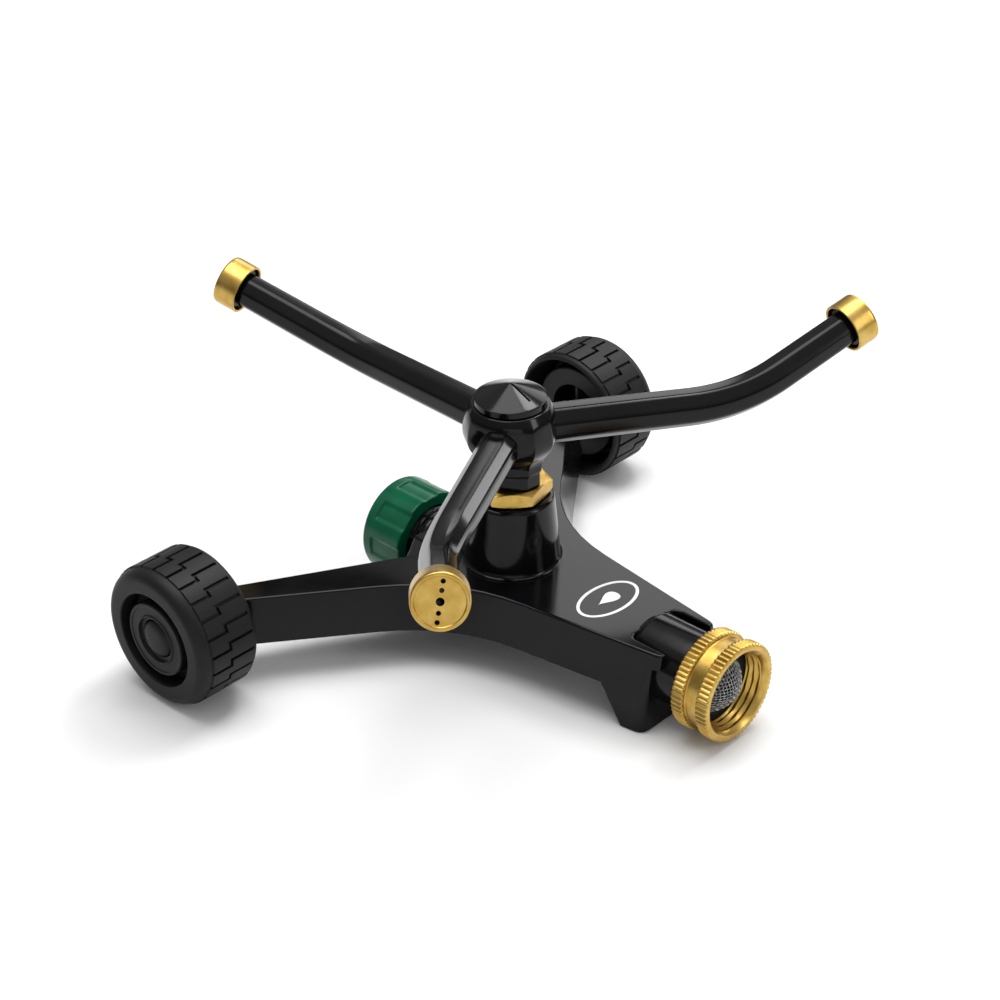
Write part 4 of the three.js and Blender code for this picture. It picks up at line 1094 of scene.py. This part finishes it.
# %% Finishes for the CAD nodes that stay
FINISH_OF_SLOT = {"brass": BRASS, "steel": STEEL, "rubber": RUBBER, "nylon": NATURAL_NYLON}
kept = []
for part in frame["record"]["subparts"]:
    node, slot = frame["nodes"][part["node"]], part["material_slot"]
    if slot in FINISH_OF_SLOT and not node.hide_render:
        finish = BLACK_NYLON if "wheel_washer" in part["node"] else FINISH_OF_SLOT[slot]
        node.data.materials.clear()
        node.data.materials.append(finish)
        kept.append(part["node"])
print("CAD nodes that stay in view:", kept)

# %% [markdown]
# ## Floor, light and camera
# The sprinkler stands on a plain pale floor under soft studio light. Gloss black shows nothing
# but what it mirrors, so the lamps are white panels, placed where each surface mirrors them: a
# broad one overhead, a smaller key for the cone, one behind on the right for the plate's top,
# narrow strips on the right and in front for the lines down tower and hub, and a low fill for the
# brass.

# %% Floor and lamps
floor_mesh = bpy.data.meshes.new("studio_floor")
FLOOR_HALF = 6.0  # metres
corners = [(x * FLOOR_HALF, y * FLOOR_HALF, 0) for x, y in ((-1, -1), (1, -1), (1, 1), (-1, 1))]
floor_mesh.from_pydata(corners, [], [(0, 1, 2, 3)])
floor_finish = new_finish("pale_studio_floor", Base_Color=linear("#e2e2e2"), Roughness=0.9)[0]
floor_mesh.materials.append(floor_finish)
floor = new_object("studio_floor", floor_mesh)

world = bpy.data.worlds.new("soft_studio")
bpy.context.scene.world = world
world.use_nodes = True
sky = world.node_tree
sky.nodes.clear()
way = add_node(sky, "TexCoord").outputs["Generated"]
level = add_node(sky, "SeparateXYZ", {"Vector": way}).outputs["Z"]
strength = spread(sky, level, 0.08, 0.75)  # dim at the horizon, so that upright walls stay black
glow = add_node(sky, "Background", {"Color": linear("#ffffff"), "Strength": strength})
sky.links.new(glow.outputs[0], add_node(sky, "OutputWorld").inputs["Surface"])


def lamp(name, place, aim, size, power):
    """A rectangular area lamp at a place in metres that faces a point."""
    data = bpy.data.lights.new(name, "AREA")
    data.shape = "RECTANGLE"
    data.size, data.size_y = size
    data.energy = power
    turn = (Vector(aim) - Vector(place)).to_track_quat("-Z", "Y").to_matrix().to_4x4()
    new_object(name, data).matrix_world = Matrix.Translation(place) @ turn


CENTRE = (0.0, float(AXIS[1]) * MM, 0.04)
lamp("overhead_panel", (0.0, 0.25, 1.2), CENTRE, (0.9, 0.8), 10)
lamp("key_panel", (0.62, 0.12, 1.05), CENTRE, (0.35, 0.35), 5)
lamp("rear_panel", (1.05, 0.5, 0.65), CENTRE, (0.9, 0.5), 3.4)
lamp("right_strip", (1.05, -0.1, 0.55), CENTRE, (0.15, 0.6), 2.2)
lamp("front_strip", (0.35, -0.95, 0.6), CENTRE, (0.25, 0.7), 3)
lamp("low_fill", (-1.0, -1.0, 0.28), CENTRE, (1.1, 0.5), 1.8)

# %% [markdown]
# The camera looks down at the front left of the sprinkler from about eight tenths of a metre with
# a long lens. Its turn is built from three directions: backwards along the view, to the right,
# and up.

# %% Camera
AZIMUTH, ELEVATION, ROLL = (math.radians(value) for value in (-46.03, 31.28, -0.98))
DISTANCE, LENS, SENSOR = 807.27, 88.79, 36.0
AIM = AXIS + [-2.48, 3.04, 48.96]

flat, high = math.cos(ELEVATION), math.sin(ELEVATION)
back = np.array([math.sin(AZIMUTH) * flat, -math.cos(AZIMUTH) * flat, high])
level_right = np.array([math.cos(AZIMUTH), math.sin(AZIMUTH), 0])
level_up = np.cross(back, level_right)
right = level_right * math.cos(ROLL) + level_up * math.sin(ROLL)
up = level_up * math.cos(ROLL) - level_right * math.sin(ROLL)
camera_data = bpy.data.cameras.new("studio_camera")
camera_data.lens = LENS
camera_data.sensor_width = SENSOR
camera_data.clip_start = 0.01
camera = new_object("studio_camera", camera_data)
turn = Matrix(np.column_stack([right, up, back]).tolist()).to_4x4()
camera.matrix_world = Matrix.Translation((AIM + back * DISTANCE) * MM) @ turn
bpy.context.scene.camera = camera
bpy.context.scene.view_settings.view_transform = "Standard"
print("camera at", [round(value, 3) for value in camera.matrix_world.translation])
